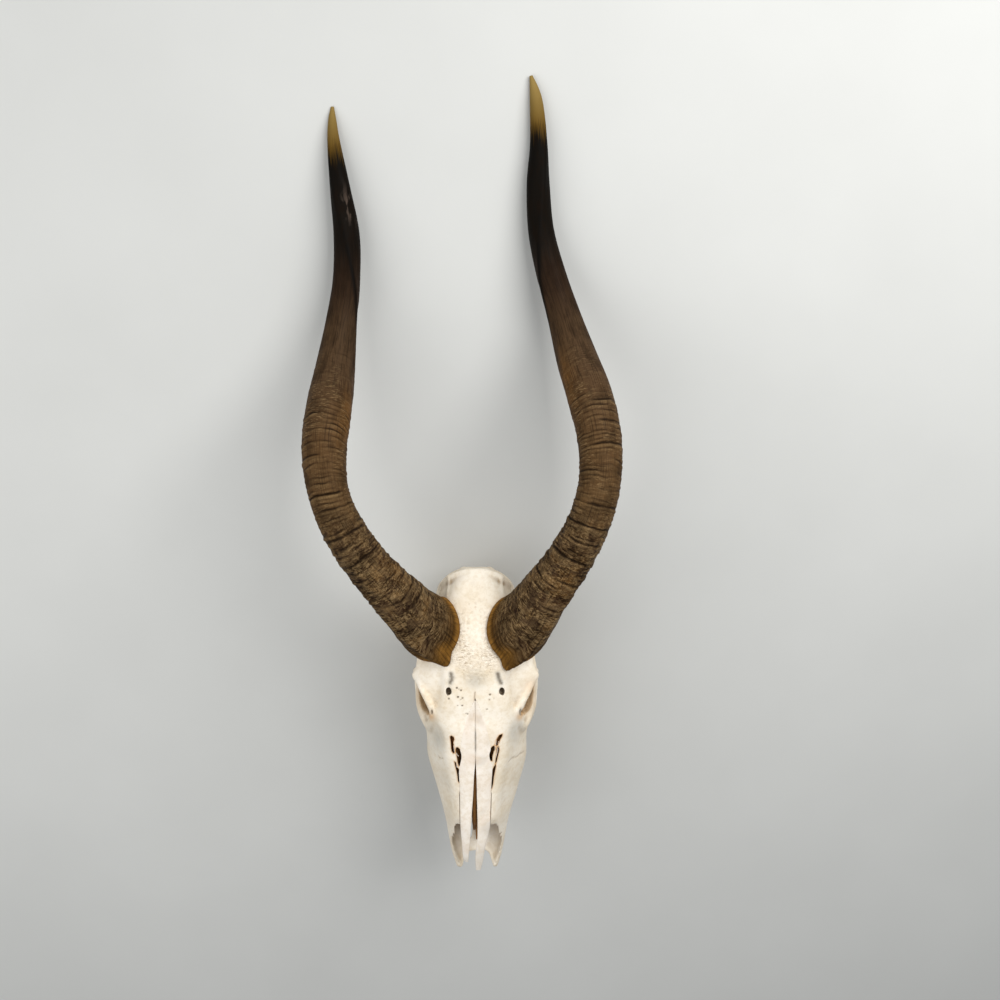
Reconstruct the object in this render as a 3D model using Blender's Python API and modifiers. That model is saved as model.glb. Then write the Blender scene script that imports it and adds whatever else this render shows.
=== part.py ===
"""A nyala skull with both horns and its upper cheek teeth, lying on a flat surface.

Every shape is laid out in the skull's own frame, in millimetres: x to the animal's left, y from the
nose tip back to the occiput, z up from the biting plane of the cheek teeth. At the end the whole is
tipped back until the jugular processes and both horn tips reach the ground, as a skull with long
swept horns does when it is set down.
"""

import math

import bmesh
import bpy
from mathutils import Matrix, Vector

MM = 0.001
SKULL_LENGTH = 310.0
LAYOUT_LENGTH = 310.0
REST_TILT = math.radians(20.4)
FOOT_DEPTH = 0.8
FLOOR_CENTRE = (0.0, 0.0, -0.05)
FLOOR_HALVES = (0.5, 0.7, 0.05)
SEAM = 0.3
HORN_SEAM = 0.6
VOXEL = 2.2
SKULL_FACES = 4650
CORNER_SOFTNESS = 0.65
CREASE_ANGLE = math.radians(38)

# Skull sections from nose to occiput, one row each: y, then x and z of the half outline's four
# knots, which are the roof's edge, the shoulder, the widest point and the base's edge, then the
# height of the roof and of the palate on the middle line.
SKULL_SECTIONS = (
    (1.0, (10, 20), (15, 19), (20.0, 15), (13, 9), 20, 9),
    (16.0, (16, 30), (21, 27), (24.8, 19), (17, 10), 31, 10),
    (34.0, (17, 42), (23, 38), (27.8, 27), (18, 11), 43, 12),
    (50.0, (16, 59), (22, 53), (30.0, 32), (18, 12), 60, 15),
    (64.0, (15, 74), (23, 62), (32.8, 36), (20, 13), 76, 18),
    (80.0, (15, 79), (24, 68), (37.0, 38), (26, 13), 81, 19),
    (95.0, (16, 83), (26, 73), (41.0, 40), (31, 13), 86, 19),
    (108.0, (16, 87), (29, 77), (45.0, 41), (34, 13), 90, 19),
    (122.0, (17, 92), (32, 82), (48.3, 43), (36, 13), 94, 19),
    (138.0, (19, 97), (35, 87), (48.8, 46), (37, 13), 99, 19),
    (152.0, (23, 101), (39, 90), (49.5, 50), (37, 14), 103, 20),
    (166.0, (27, 104), (41, 93), (47.0, 58), (34, 17), 106, 22),
    (178.0, (28, 108), (37, 95), (38.0, 66), (24, 34), 110, 40),
    (192.0, (28, 112), (34, 98), (31.0, 74), (15, 48), 114, 50),
    (208.0, (28, 115), (34, 100), (33.0, 76), (14, 44), 118, 44),
    (225.0, (28, 117), (36, 102), (36.0, 78), (15, 42), 121, 42),
    (245.0, (25, 118), (36, 104), (37.5, 78), (17, 42), 123, 42),
    (265.0, (21, 117), (32, 104), (38.5, 76), (20, 42), 120, 42),
    (282.0, (19, 112), (28, 102), (38.0, 72), (22, 43), 114, 43),
    (293.0, (14, 108), (23, 98), (33.0, 74), (20, 46), 109, 46),
    (301.0, (9, 105), (17, 97), (24.0, 78), (15, 54), 107, 54),
    (306.5, (5, 104), (9, 98), (12.0, 86), (8, 70), 105, 70),
)

# Brow plate from the middle line out to the corner behind the eye: x, front y, back y, z, half thickness.
BROW_SECTIONS = (
    (12.0, 176.0, 255.0, 107.0, 9.0),
    (30.0, 178.0, 250.0, 103.5, 9.0),
    (42.0, 183.0, 246.0, 100.5, 7.5),
    (48.0, 188.0, 238.0, 99.0, 6.5),
    (52.5, 193.5, 227.0, 98.5, 6.0),
    (55.0, 197.5, 217.0, 98.0, 5.0),
    (57.5, 200.5, 210.5, 97.5, 4.2),
    (59.8, 203.0, 208.0, 97.5, 3.0),
)
BROW_TURN = 208.0
BROW_FALL = 0.28

# Bars of bone on the left side, mirrored for the right: points with a radius each.
CHEEK_ARCH = (
    (40, 128, 46, 6), (42, 142, 52, 6), (45.5, 152, 56, 5.5), (50, 161, 59, 5.5), (53, 172, 61, 5.6),
    (54.2, 186, 62, 5.4), (54.6, 200, 64, 5.4), (51.5, 222, 68, 5.2), (47, 243, 72, 5.2), (38, 260, 74, 7),
)
ORBIT_RIM = (
    (55, 206, 95, 4), (52, 199, 98, 4), (48.4, 190, 99, 4), (44, 181, 98, 4), (40, 171, 94, 4.2),
    (41, 160, 85, 4.4), (45, 154, 73, 4.4), (50, 160, 66, 4), (53, 174, 65, 3.6), (54, 190, 66, 3.6),
    (54.5, 203, 72, 4), (55.5, 208, 84, 4.4), (55, 206, 95, 4),
)
JUGULAR_PROCESS = ((28.5, 287, 62, 7), (29.5, 288, 44, 5.6), (29, 286.5, 30, 4.4), (28, 285, 14.5, 3.4))
NUCHAL_CREST = ((34, 286, 76, 3.4), (30, 292.5, 90, 3.4), (20, 299.5, 98, 3.4), (6, 304, 101.5, 3.2))
HORN_PEDICLE = ((24, 236, 82, 19), (34, 244, 96, 19), (40, 250, 106, 15))
NOSE_PRONG = ((23, 30, 15, 4.5), (21.2, 16, 13.5, 3.6), (19.4, 6, 12.5, 3), (18, 0, 12.5, 2.4))
CONDYLE_BRIDGE = ((20, 285, 52, 7), (12, 292, 46, 7), (0, 288, 42, 6))

# Swellings on the left side, mirrored for the right: centre and radii.
SWELLINGS = (
    ((12, 295, 53), (8, 11, 13)),
    ((18, 262, 40), (9, 15, 13)),
    ((38, 257, 70), (9, 9, 6)),
    ((31, 276, 60), (8, 8, 9)),
    ((39, 138, 44), (9.5, 17, 12)),
    ((13, 190, 42), (2.6, 24, 20)),
    ((8, 200, 46), (9, 44, 5)),
)

# Hollows on the left side, mirrored for the right: centre and radii.
HOLLOWS = (
    ((50, 184, 82.5), (28, 19, 14.5)),
    ((24.4, 193, 110), (2.4, 4.0, 12)),
    ((7.2, 43, 12), (2.6, 15, 12)),
    ((40.5, 158, 84), (1.6, 3.2, 5)),
    ((37, 283, 106), (10, 17, 10)),
)

# The nasal cavity, open forward and upward: y, half breadth, floor z, roof z.
NASAL_CAVITY = (
    (-12.0, 17.0, 14.0, 30.0),
    (2.0, 17.0, 14.0, 30.0),
    (16.0, 21.0, 15.0, 40.0),
    (34.0, 24.5, 16.5, 52.0),
    (50.0, 26.0, 18.5, 62.0),
    (64.0, 27.5, 22.0, 70.0),
    (95.0, 30.0, 24.0, 80.0),
    (122.0, 34.0, 25.0, 89.0),
    (150.0, 34.0, 26.0, 96.0),
    (172.0, 24.0, 30.0, 98.0),
)
# Openings seen from above, as y and half breadth: the nose, then the seat of the nasal bones.
NOSE_OPENING = ((-12, 14.5), (2, 16.6), (16, 20.3), (34, 21.8), (50, 21.2), (57, 19.0))
NASAL_SEAT = ((48, 15.8), (95, 15.8), (115, 15.8), (134, 14.2), (150, 12.0), (170, 7.0), (186, 0.6))
# The notch between the nose prongs, seen from above, as x and y.
NOSE_NOTCH = (
    (-15.0, -12), (-15.0, 0), (-12.4, 12), (-9.2, 16), (-2.5, 17.2), (7.9, 17.6), (11.9, 14.8), (16.2, 2),
    (16.2, -12),
)

# Nasal bones: y, inner x, outer x, z of the crown. The right one splays, the left one is longer.
NASAL_RIGHT = (
    (17, -7.8, -11.2, 55), (23, -7.4, -13.0, 58.5), (42, -5.8, -14.2, 66.5), (60, -4.6, -15.2, 74.5),
    (84, -3.0, -15.4, 82), (115, -1.5, -15.4, 92), (134, -0.6, -13.8, 97.5), (150, -0.4, -11.6, 102),
    (170, -0.4, -6.6, 107), (184, -0.4, -1.2, 110.5),
)
NASAL_LEFT = (
    (8, -0.6, 4.2, 51), (20, -1.0, 6.8, 57), (33, -0.2, 8.6, 63), (45, 1.2, 11.2, 68),
    (58, 1.4, 13.4, 74), (84, 1.1, 14.6, 82), (115, 0.5, 15.2, 92), (134, 0.4, 13.8, 97.5),
    (150, 0.4, 11.6, 102), (170, 0.4, 6.6, 107), (184, 0.4, 1.2, 110.5),
)
NASAL_ROWS = 15
NASAL_THICKNESS = 3.4

# The ragged openings beside the nasal bones, seen from above.
FISSURE_RIGHT = (
    (-24, 145), (-22.5, 149.5), (-20.2, 147), (-20.4, 139), (-15.5, 137.5), (-15.0, 118),
    (-15.8, 99), (-17.2, 101), (-19.6, 118), (-20.6, 131), (-23.0, 136),
)
FISSURE_LEFT = (
    (21.0, 139), (20.5, 147), (24.0, 152), (25.6, 150), (23.0, 140), (21.6, 131),
    (19.8, 117), (17.4, 100), (15.0, 93), (15.0, 118), (15.0, 137),
)

# Cheek teeth from front to back: y, x, length, breadth.
TEETH = (
    (84, 21.5, 9, 8), (94.5, 24.0, 10, 10), (106, 26.5, 11, 12),
    (119.5, 29.0, 14, 14), (135.5, 30.5, 16, 15), (153, 30.5, 17, 14),
)
TOOTH_ROOT = 20.0
GUM_LINE = 13.0

# Horn stations from inside the skull to the tip: x, y, z, breadth seen from above.
HORN_RIGHT = (
    (-33, 241, 84, 46), (-40.6, 251.8, 108, 62), (-54.5, 265.5, 130, 51), (-67, 281, 146.7, 45.5),
    (-90, 308, 165, 40.5), (-110.3, 338.4, 180.6, 37.7), (-125.5, 374.8, 185.4, 35.4),
    (-130.7, 413.7, 179, 39), (-128.4, 451.5, 166, 40.2), (-124.6, 489, 152.5, 35),
    (-120.1, 528, 145.7, 28.8), (-115.1, 567.4, 148, 24.6), (-114.1, 607, 154.3, 23.3),
    (-118.6, 645.5, 163.2, 18.2), (-123.1, 684, 171.8, 11.4), (-124.2, 703, 174.3, 7.4),
    (-123.9, 715, 175.9, 2.8),
)
HORN_LEFT = (
    (30, 240, 84, 46), (36.9, 250.4, 108, 61), (50, 266, 130, 52), (61.2, 284, 145.9, 45.8),
    (82, 314, 163.6, 41), (99.1, 346.7, 179, 38), (109.4, 384.5, 185.7, 36.5),
    (109.7, 424, 181.4, 38.4), (102.2, 461.6, 170, 40), (91.4, 497.7, 156.4, 36.3),
    (80.8, 535, 147, 30.2), (69.2, 573, 147, 26.5), (59.8, 611.3, 153, 23.2),
    (56.9, 650, 162.7, 20.5), (57, 684, 172.8, 15.4), (54.4, 719, 181.7, 11), (49.9, 738.5, 186.8, 2.8),
)
HORN_RINGS = 38
HORN_SIDES = 13
KEEL_WIDTH = 0.42
# Course of the keel round the horn: share of its length, then turn from the upper side outward.
KEEL_COURSE = (
    (0.0, 5), (0.09, 25), (0.16, 62), (0.24, 95), (0.42, 180), (0.63, 270), (0.79, 360), (1.0, 455),
)
KEEL_HEIGHT = ((0.0, 0.10), (0.07, 0.34), (0.13, 0.16), (0.3, 0.10), (0.75, 0.14), (1.0, 0.05))

BONE = ("bone", (0.86, 0.80, 0.70), 0.62)
NASAL_BONE = ("nasal_bone", (0.88, 0.83, 0.74), 0.6)
HORN = ("horn_keratin", (0.10, 0.055, 0.03), 0.48)
ENAMEL = ("tooth_enamel", (0.72, 0.64, 0.50), 0.35)


def clear_scene():
    for obj in list(bpy.data.objects):
        bpy.data.objects.remove(obj, do_unlink=True)


def collection(name):
    made = bpy.data.collections.new(name)
    bpy.context.scene.collection.children.link(made)
    return made


def spline(rows, t):
    """The row at t, from 0 at the first to 1 at the last, on a smooth curve through all rows."""
    place = min(max(t, 0.0), 1.0) * (len(rows) - 1)
    i = min(int(place), len(rows) - 2)
    f = place - i
    a, b, c, d = (rows[min(max(k, 0), len(rows) - 1)] for k in (i - 1, i, i + 1, i + 2))
    return [
        0.5 * (2 * q + (r - p) * f + (2 * p - 5 * q + 4 * r - s) * f * f + (3 * q - p - 3 * r + s) * f ** 3)
        for p, q, r, s in zip(a, b, c, d)
    ]


def along(table, t):
    """Straight-line value from pairs of place and value."""
    for (x0, y0), (x1, y1) in zip(table, table[1:]):
        if t <= x1:
            return y0 + (y1 - y0) * max(0.0, t - x0) / (x1 - x0)
    return table[-1][1]


def even_rows(rows, count):
    """Rows at equal distances along a smooth curve: the share of its length, the row, and its neighbours."""
    fine = [spline(rows, k / 600) for k in range(601)]
    lengths = [0.0]
    for p, q in zip(fine, fine[1:]):
        lengths.append(lengths[-1] + math.dist(p[:3], q[:3]))
    places = [(length, k) for k, length in enumerate(lengths)]
    picked = []
    for k in range(count):
        share = k / (count - 1)
        near = min(600, round(along(places, share * lengths[-1])))
        picked.append((share, fine[near], fine[max(0, near - 3)], fine[min(600, near + 3)]))
    return picked


def squared(turn):
    """Cosine and sine of an angle on a circle pushed toward a square."""
    return [math.copysign(abs(f) ** CORNER_SOFTNESS, f) for f in (math.cos(turn), math.sin(turn))]


def closed_spline(points, count):
    """Evenly shared points on a smooth closed curve through the given ones."""
    around = [points[-1], *points, points[0], points[1]]
    made = []
    for k in range(count):
        place = k * len(points) / count
        i = int(place)
        part = around[i:i + 4]
        made.append(spline(part, (1 + place - i) / 3))
    return made


def mesh_object(name, bm, home):
    bmesh.ops.recalc_face_normals(bm, faces=bm.faces)
    mesh = bpy.data.meshes.new(name)
    bm.to_mesh(mesh)
    bm.free()
    obj = bpy.data.objects.new(name, mesh)
    home.objects.link(obj)
    return obj


def loft(name, rings, home):
    """A closed body through rings of equally many points."""
    bm = bmesh.new()
    rows = [[bm.verts.new(p) for p in ring] for ring in rings]
    for low, high in zip(rows, rows[1:]):
        for k in range(len(low)):
            n = (k + 1) % len(low)
            bm.faces.new((low[k], low[n], high[n], high[k]))
    bm.faces.new(rows[0])
    bm.faces.new(rows[-1])
    return mesh_object(name, bm, home)


def ball(name, centre, radii, home, segments=14):
    bm = bmesh.new()
    bmesh.ops.create_uvsphere(bm, u_segments=segments, v_segments=segments // 2, radius=1.0)
    bmesh.ops.transform(bm, matrix=Matrix.LocRotScale(Vector(centre), None, Vector(radii)), verts=bm.verts)
    return mesh_object(name, bm, home)


def box(name, centre, halves, home):
    bm = bmesh.new()
    bmesh.ops.create_cube(bm, size=2.0)
    bmesh.ops.transform(bm, matrix=Matrix.LocRotScale(Vector(centre), None, Vector(halves)), verts=bm.verts)
    return mesh_object(name, bm, home)


def prism(name, outline, low, high, home):
    return loft(name, [[(x, y, z) for x, y in outline] for z in (low, high)], home)


def bar(name, points, home):
    """A round bar of bone whose radius changes along its points, made from a curve."""
    curve = bpy.data.curves.new(name, "CURVE")
    curve.dimensions = "3D"
    curve.bevel_depth = 1.0
    curve.bevel_resolution = 2
    curve.use_fill_caps = True
    steps = 3 * (len(points) - 1) + 1
    run = curve.splines.new("POLY")
    run.points.add(steps - 1)
    for k, knot in enumerate(run.points):
        x, y, z, radius = spline(points, k / (steps - 1))
        knot.co = (x, y, z, 1.0)
        knot.radius = radius
    guide = bpy.data.objects.new(name, curve)
    home.objects.link(guide)
    bpy.context.view_layer.update()
    mesh = bpy.data.meshes.new_from_object(guide.evaluated_get(bpy.context.evaluated_depsgraph_get()))
    bpy.data.objects.remove(guide)
    bm = bmesh.new()
    bm.from_mesh(mesh)
    bmesh.ops.remove_doubles(bm, verts=bm.verts, dist=0.001)
    return mesh_object(name, bm, home)


def mirrored(points):
    return tuple((-p[0], *p[1:]) for p in points)


def apply_all(obj):
    """Bakes the modifiers into the mesh."""
    bpy.context.view_layer.update()
    evaluated = obj.evaluated_get(bpy.context.evaluated_depsgraph_get())
    mesh = bpy.data.meshes.new_from_object(evaluated)
    obj.modifiers.clear()
    obj.data = mesh


def fuse(name, pieces, voxel, home):
    """Joins overlapping shapes into one softened skin."""
    bm = bmesh.new()
    for piece in pieces:
        bm.from_mesh(piece.data)
        bpy.data.objects.remove(piece)
    fused = mesh_object(name, bm, home)
    remesh = fused.modifiers.new("skin", "REMESH")
    remesh.mode = "VOXEL"
    remesh.voxel_size = voxel
    soften = fused.modifiers.new("soften", "SMOOTH")
    soften.factor = 0.5
    soften.iterations = 5
    apply_all(fused)
    return fused


def thin_out(obj, faces):
    """Brings a dense skin down to about so many triangles."""
    bm = bmesh.new()
    bm.from_mesh(obj.data)
    bmesh.ops.triangulate(bm, faces=bm.faces)
    bm.to_mesh(obj.data)
    bm.free()
    thin = obj.modifiers.new("thin", "DECIMATE")
    thin.ratio = faces / len(obj.data.polygons)
    apply_all(obj)


def carve(obj, cutter, operation="DIFFERENCE"):
    cut = obj.modifiers.new("cut", "BOOLEAN")
    cut.operation = operation
    cut.solver = "EXACT"
    cut.object = cutter
    apply_all(obj)


def largest_body(obj):
    """Drops crumbs that a cut leaves loose."""
    bm = bmesh.new()
    bm.from_mesh(obj.data)
    left = set(bm.verts)
    bodies = []
    while left:
        front = [left.pop()]
        body = set(front)
        while front:
            for edge in front.pop().link_edges:
                for vert in edge.verts:
                    if vert in left:
                        left.discard(vert)
                        body.add(vert)
                        front.append(vert)
        bodies.append(body)
    bodies.sort(key=len)
    for body in bodies[:-1]:
        bmesh.ops.delete(bm, geom=list(body), context="VERTS")
    bm.to_mesh(obj.data)
    bm.free()


def grown(obj, distance, name, home):
    """A copy whose skin stands this far outside the original's."""
    bm = bmesh.new()
    bm.from_mesh(obj.data)
    bm.normal_update()
    shift = [(vert, vert.normal * distance) for vert in bm.verts]
    for vert, step in shift:
        vert.co += step
    return mesh_object(name, bm, home)


def brow_rings(side):
    """Flattened rings from the middle line outward; ahead of the brow corner they fall with the forehead."""
    rings = []
    for x, front, back, z, thick in BROW_SECTIONS:
        ring = []
        for k in range(24):
            across, up = squared(k * math.tau / 24)
            y = (front + back) / 2 + (back - front) / 2 * across
            ring.append((side * x, y, z + thick * up + BROW_FALL * min(0.0, y - BROW_TURN)))
        rings.append(ring)
    return rings


def skull_body(home):
    """The skull's outer form, still solid."""
    rings = []
    for y, edge, shoulder, wide, base, roof, palate in SKULL_SECTIONS:
        half = [edge, shoulder, wide, base]
        outline = [(0, roof), *half, (0, palate), *[(-x, z) for x, z in reversed(half)]]
        rings.append([(x, y, z) for x, z in closed_spline(outline, 40)])
    pieces = [loft("core", rings, home)]
    bars = (CHEEK_ARCH, ORBIT_RIM, JUGULAR_PROCESS, NUCHAL_CREST, HORN_PEDICLE, NOSE_PRONG, CONDYLE_BRIDGE)
    for side in (1, -1):
        pieces.append(loft("brow", brow_rings(side), home))
        for points in bars:
            pieces.append(bar("bar", points if side > 0 else mirrored(points), home))
        for (x, y, z), radii in SWELLINGS:
            pieces.append(ball("swelling", (side * x, y, z), radii, home))
    return fuse("cranium", pieces, VOXEL, home)


def nasal_cavity(home):
    rings = []
    for y, half, floor, roof in NASAL_CAVITY:
        middle = (floor + roof) / 2
        reach = (roof - floor) / 2
        ring = []
        for k in range(18):
            across, up = squared(k * math.tau / 18)
            taper = 1.0 - 0.32 * max(0.0, up)
            ring.append((half * across * taper, y, middle + reach * up))
        rings.append(ring)
    return loft("nasal_cavity", rings, home)


def from_above(table):
    """An outline on both sides of the middle line."""
    return [(x, y) for y, x in table] + [(-x, y) for y, x in reversed(table)]


def cavities(home):
    """All that is hollowed out of the skull."""
    cuts = [nasal_cavity(home)]
    cuts.append(prism("nose_opening", from_above(NOSE_OPENING), 24, 140, home))
    cuts.append(prism("fissure_right", FISSURE_RIGHT, 70, 140, home))
    cuts.append(prism("fissure_left", FISSURE_LEFT, 70, 140, home))
    cuts.append(prism("nose_notch", NOSE_NOTCH, -5, 40, home))
    cuts.append(ball("throat", (0, 180, 36), (9.5, 24, 9), home))
    cuts.append(ball("brain", (0, 256, 80), (30, 34, 27), home))
    cuts.append(ball("foramen_magnum", (0, 302, 66), (10.5, 26, 10), home))
    for side in (1, -1):
        for (x, y, z), radii in HOLLOWS:
            cuts.append(ball("hollow", (side * x, y, z), radii, home))
    return cuts


def nasal(name, stations, home):
    """A long thin blade of bone, highest along the middle line and falling to its outer edge."""
    rings = []
    for k in range(NASAL_ROWS):
        y, inner, outer, crown = spline(stations, k / (NASAL_ROWS - 1))
        side = 1 if outer > inner else -1
        breadth = abs(outer - inner)
        drop = 0.16 * breadth
        thick = NASAL_THICKNESS
        top = [(0.0, -0.4), (0.3, 0.0), (0.62, -0.25 * drop), (0.88, -0.75 * drop), (1.0, -1.2 * drop)]
        under = [(1.0, -1.2 * drop - 0.7 * thick), (0.6, -0.5 * drop - thick), (0.0, -0.4 - thick)]
        rings.append([(inner + side * f * breadth, y, crown + z) for f, z in top + under])
    return loft(name, rings, home)


def tooth(name, side, y, x, length, breadth, home, spare=0.0):
    """A cheek tooth: a squarish crown, wider at the gum, with a blunt root."""
    rows = ((0.0, 0.84), (GUM_LINE - 2, 1.0), (TOOTH_ROOT - 3, 0.88), (TOOTH_ROOT, 0.62))
    rings = []
    for z, share in rows:
        if z >= TOOTH_ROOT:
            z += spare
        ring = []
        for k in range(8):
            across, lengthwise = squared((k + 0.5) * math.tau / 8)
            ring.append((
                side * x + across * (share * breadth / 2 + spare),
                y + lengthwise * (share * length / 2 + spare),
                z - (spare if z <= 0 else 0.0),
            ))
        rings.append(ring)
    return loft(name, rings, home)


def horn(name, stations, home):
    """A spiral horn: rings along a smooth axis, each with a keel that winds round it."""
    side = 1 if stations[0][0] > 0 else -1
    rings = []
    for t, (x, y, z, breadth), behind, ahead in even_rows(stations, HORN_RINGS):
        axis = (Vector(ahead[:3]) - Vector(behind[:3])).normalized()
        outward = Vector((0, 0, 1)).cross(axis).normalized()
        if outward.x * side < 0:
            outward.negate()
        upward = axis.cross(outward)
        if upward.z < 0:
            upward.negate()
        keel = math.radians(along(KEEL_COURSE, t))
        height = along(KEEL_HEIGHT, t)
        flat = []
        for n in range(HORN_SIDES):
            turn = keel + n * math.tau / HORN_SIDES
            off = min(n, HORN_SIDES - n) * math.tau / HORN_SIDES
            radius = 1.0 + height * math.exp(-((off / KEEL_WIDTH) ** 2))
            flat.append((radius * math.sin(turn), radius * math.cos(turn)))
        low = min(u for u, v in flat)
        high = max(u for u, v in flat)
        scale = breadth / (high - low)
        shift = (high + low) / 2
        centre = Vector((x, y, z))
        rings.append([centre + outward * (u - shift) * scale + upward * v * scale for u, v in flat])
    return loft(name, rings, home)


def material(kind):
    name, colour, roughness = kind
    if name in bpy.data.materials:
        return bpy.data.materials[name]
    made = bpy.data.materials.new(name)
    made.use_nodes = True
    shader = made.node_tree.nodes["Principled BSDF"]
    shader.inputs["Base Color"].default_value = (*colour, 1.0)
    shader.inputs["Roughness"].default_value = roughness
    return made


def copy_of(obj, name, home):
    made = bpy.data.objects.new(name, obj.data.copy())
    home.objects.link(made)
    return made


def build():
    clear_scene()
    skull = collection("nyala_skull")
    guides = collection("cutters")
    guides.hide_render = True

    cranium = skull_body(skull)
    for cut in cavities(guides):
        carve(cranium, cut)
    largest_body(cranium)
    thin_out(cranium, SKULL_FACES)
    carve(cranium, prism("nasal_seat", from_above(NASAL_SEAT), 60, 140, guides))
    seat = grown(cranium, HORN_SEAM, "horn_seat", guides)
    horns = [horn("horn_right", HORN_RIGHT, skull), horn("horn_left", HORN_LEFT, skull)]
    for made in horns:
        carve(made, seat)
        largest_body(made)

    noses = []
    for name, side in (("premaxilla_left", 1), ("premaxilla_right", -1)):
        piece = copy_of(cranium, name, skull)
        front = loft("front", premaxilla_block(side, 0.0), guides)
        carve(piece, front, "INTERSECT")
        largest_body(piece)
        noses.append(piece)
    carve(cranium, loft("suture", premaxilla_block(0, SEAM), guides))
    largest_body(cranium)

    teeth = []
    for side, word in ((1, "left"), (-1, "right")):
        for number, (y, x, length, breadth) in enumerate(TEETH, 1):
            teeth.append(tooth(f"tooth_{word}_{number}", side, y, x, length, breadth, skull))
            carve(cranium, tooth("socket", side, y, x, length, breadth, guides, SEAM))

    nasals = [nasal("nasal_bone_right", NASAL_RIGHT, skull), nasal("nasal_bone_left", NASAL_LEFT, skull)]
    dress(cranium, BONE)
    for group, kind in ((noses, BONE), (horns, HORN), (teeth, ENAMEL), (nasals, NASAL_BONE)):
        for obj in group:
            dress(obj, kind)
    everything = [cranium, *noses, *horns, *teeth, *nasals]
    settle(everything)
    floor = box("floor", FLOOR_CENTRE, FLOOR_HALVES, guides)
    for obj in (cranium, *horns):
        carve(obj, floor)
    for obj in everything:
        finish_surface(obj)
    for guide in guides.objects:
        guide.hide_render = True
        guide.display_type = "WIRE"
    guides.hide_viewport = True


def premaxilla_block(side, spare):
    """The block that holds the nose tip forward of a slanting seam: one side, or both for 0."""
    inner = side * SEAM / 2 if side else -60.0
    outer = side * 60.0 if side else 60.0
    bottom = [(inner, -20, -5), (outer, -20, -5), (outer, 40 + spare, -5), (inner, 40 + spare, -5)]
    top = [(x, 62 + spare if y > 0 else y, 72) for x, y, z in bottom]
    return [bottom, top]


def dress(obj, kind):
    obj.data.materials.clear()
    obj.data.materials.append(material(kind))


def finish_surface(obj):
    for face in obj.data.polygons:
        face.material_index = 0
    obj.data.shade_smooth()
    obj.data.set_sharp_from_angle(angle=CREASE_ANGLE)


def settle(pieces):
    """Tips the skull back onto its jugular processes and horn tips, and centres it on the ground."""
    tip = Matrix.Rotation(-REST_TILT, 4, "X") @ Matrix.Scale(MM * SKULL_LENGTH / LAYOUT_LENGTH, 4)
    for obj in pieces:
        obj.data.transform(tip)
    corners = [vert.co for obj in pieces for vert in obj.data.vertices]
    low = Vector(min(c[k] for c in corners) for k in range(3))
    high = Vector(max(c[k] for c in corners) for k in range(3))
    middle = Vector(((low.x + high.x) / 2, (low.y + high.y) / 2, low.z + FOOT_DEPTH * MM))
    print("moved by", [round(-v / MM, 2) for v in middle], "mm")
    for obj in pieces:
        obj.data.transform(Matrix.Translation(-middle))


build()
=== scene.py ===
import math
import random

import bmesh
import bpy
import numpy as np
from mathutils import Matrix, Vector, noise
from mathutils.bvhtree import BVHTree
from mathutils.kdtree import KDTree


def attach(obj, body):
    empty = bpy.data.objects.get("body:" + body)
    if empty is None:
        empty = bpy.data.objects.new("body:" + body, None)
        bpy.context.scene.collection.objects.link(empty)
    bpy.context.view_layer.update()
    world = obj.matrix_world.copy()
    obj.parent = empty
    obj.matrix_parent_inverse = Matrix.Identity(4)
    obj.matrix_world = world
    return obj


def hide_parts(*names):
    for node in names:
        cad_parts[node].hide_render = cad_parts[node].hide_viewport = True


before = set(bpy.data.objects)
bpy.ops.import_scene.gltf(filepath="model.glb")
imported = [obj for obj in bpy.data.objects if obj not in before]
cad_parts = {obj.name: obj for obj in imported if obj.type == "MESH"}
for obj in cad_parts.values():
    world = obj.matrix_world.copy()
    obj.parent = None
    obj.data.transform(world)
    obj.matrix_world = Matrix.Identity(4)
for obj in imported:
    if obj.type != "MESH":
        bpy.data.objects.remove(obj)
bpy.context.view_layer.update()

# All shapes are laid out in the skull's own frame in millimetres: x to the animal's left,
# y from the nose tip back to the occiput, z up from the biting plane of the cheek teeth.
# The skull then tips back onto its jugular processes and horn tips, and goes to metres.
placing = {
    "tiltDegrees": 20.4,
    "middle": (-10.55, 380.93, -84.96),  # what moves to the origin, in tilted millimetres
}
tilt = math.radians(placing["tiltDegrees"])
sharpFrom = math.radians(58)  # edges bent more than this stay crisp
toGround = (
    Matrix.Translation(Vector(placing["middle"]) * -0.001)
    @ Matrix.Rotation(-tilt, 4, "X")
    @ Matrix.Scale(0.001, 4)
)


# small tools for meshes

def spline(rows, t):
    # the row at t (0 to 1) on a smooth curve through all rows
    place = min(max(t, 0.0), 1.0) * (len(rows) - 1)
    i = min(int(place), len(rows) - 2)
    f = place - i
    near = [rows[min(max(k, 0), len(rows) - 1)] for k in (i - 1, i, i + 1, i + 2)]
    return [
        0.5 * (2 * q + (r - p) * f + (2 * p - 5 * q + 4 * r - s) * f * f + (3 * q - p - 3 * r + s) * f ** 3)
        for p, q, r, s in zip(*near)
    ]


def closedSpline(points, count):
    around = [points[-1], *points, points[0], points[1]]
    made = []
    for k in range(count):
        place = k * len(points) / count
        i = int(place)
        made.append(spline(around[i:i + 4], (1 + place - i) / 3))
    return made


def smoothRows(rows, count):
    return [spline(rows, k / (count - 1)) for k in range(count)]


def squared(turn, softness=0.65):
    # a circle pushed toward a square
    return [math.copysign(abs(f) ** softness, f) for f in (math.cos(turn), math.sin(turn))]


def meshObject(name, bm):
    bmesh.ops.recalc_face_normals(bm, faces=bm.faces)
    mesh = bpy.data.meshes.new(name)
    bm.to_mesh(mesh)
    bm.free()
    obj = bpy.data.objects.new(name, mesh)
    bpy.context.scene.collection.objects.link(obj)
    return obj


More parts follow.
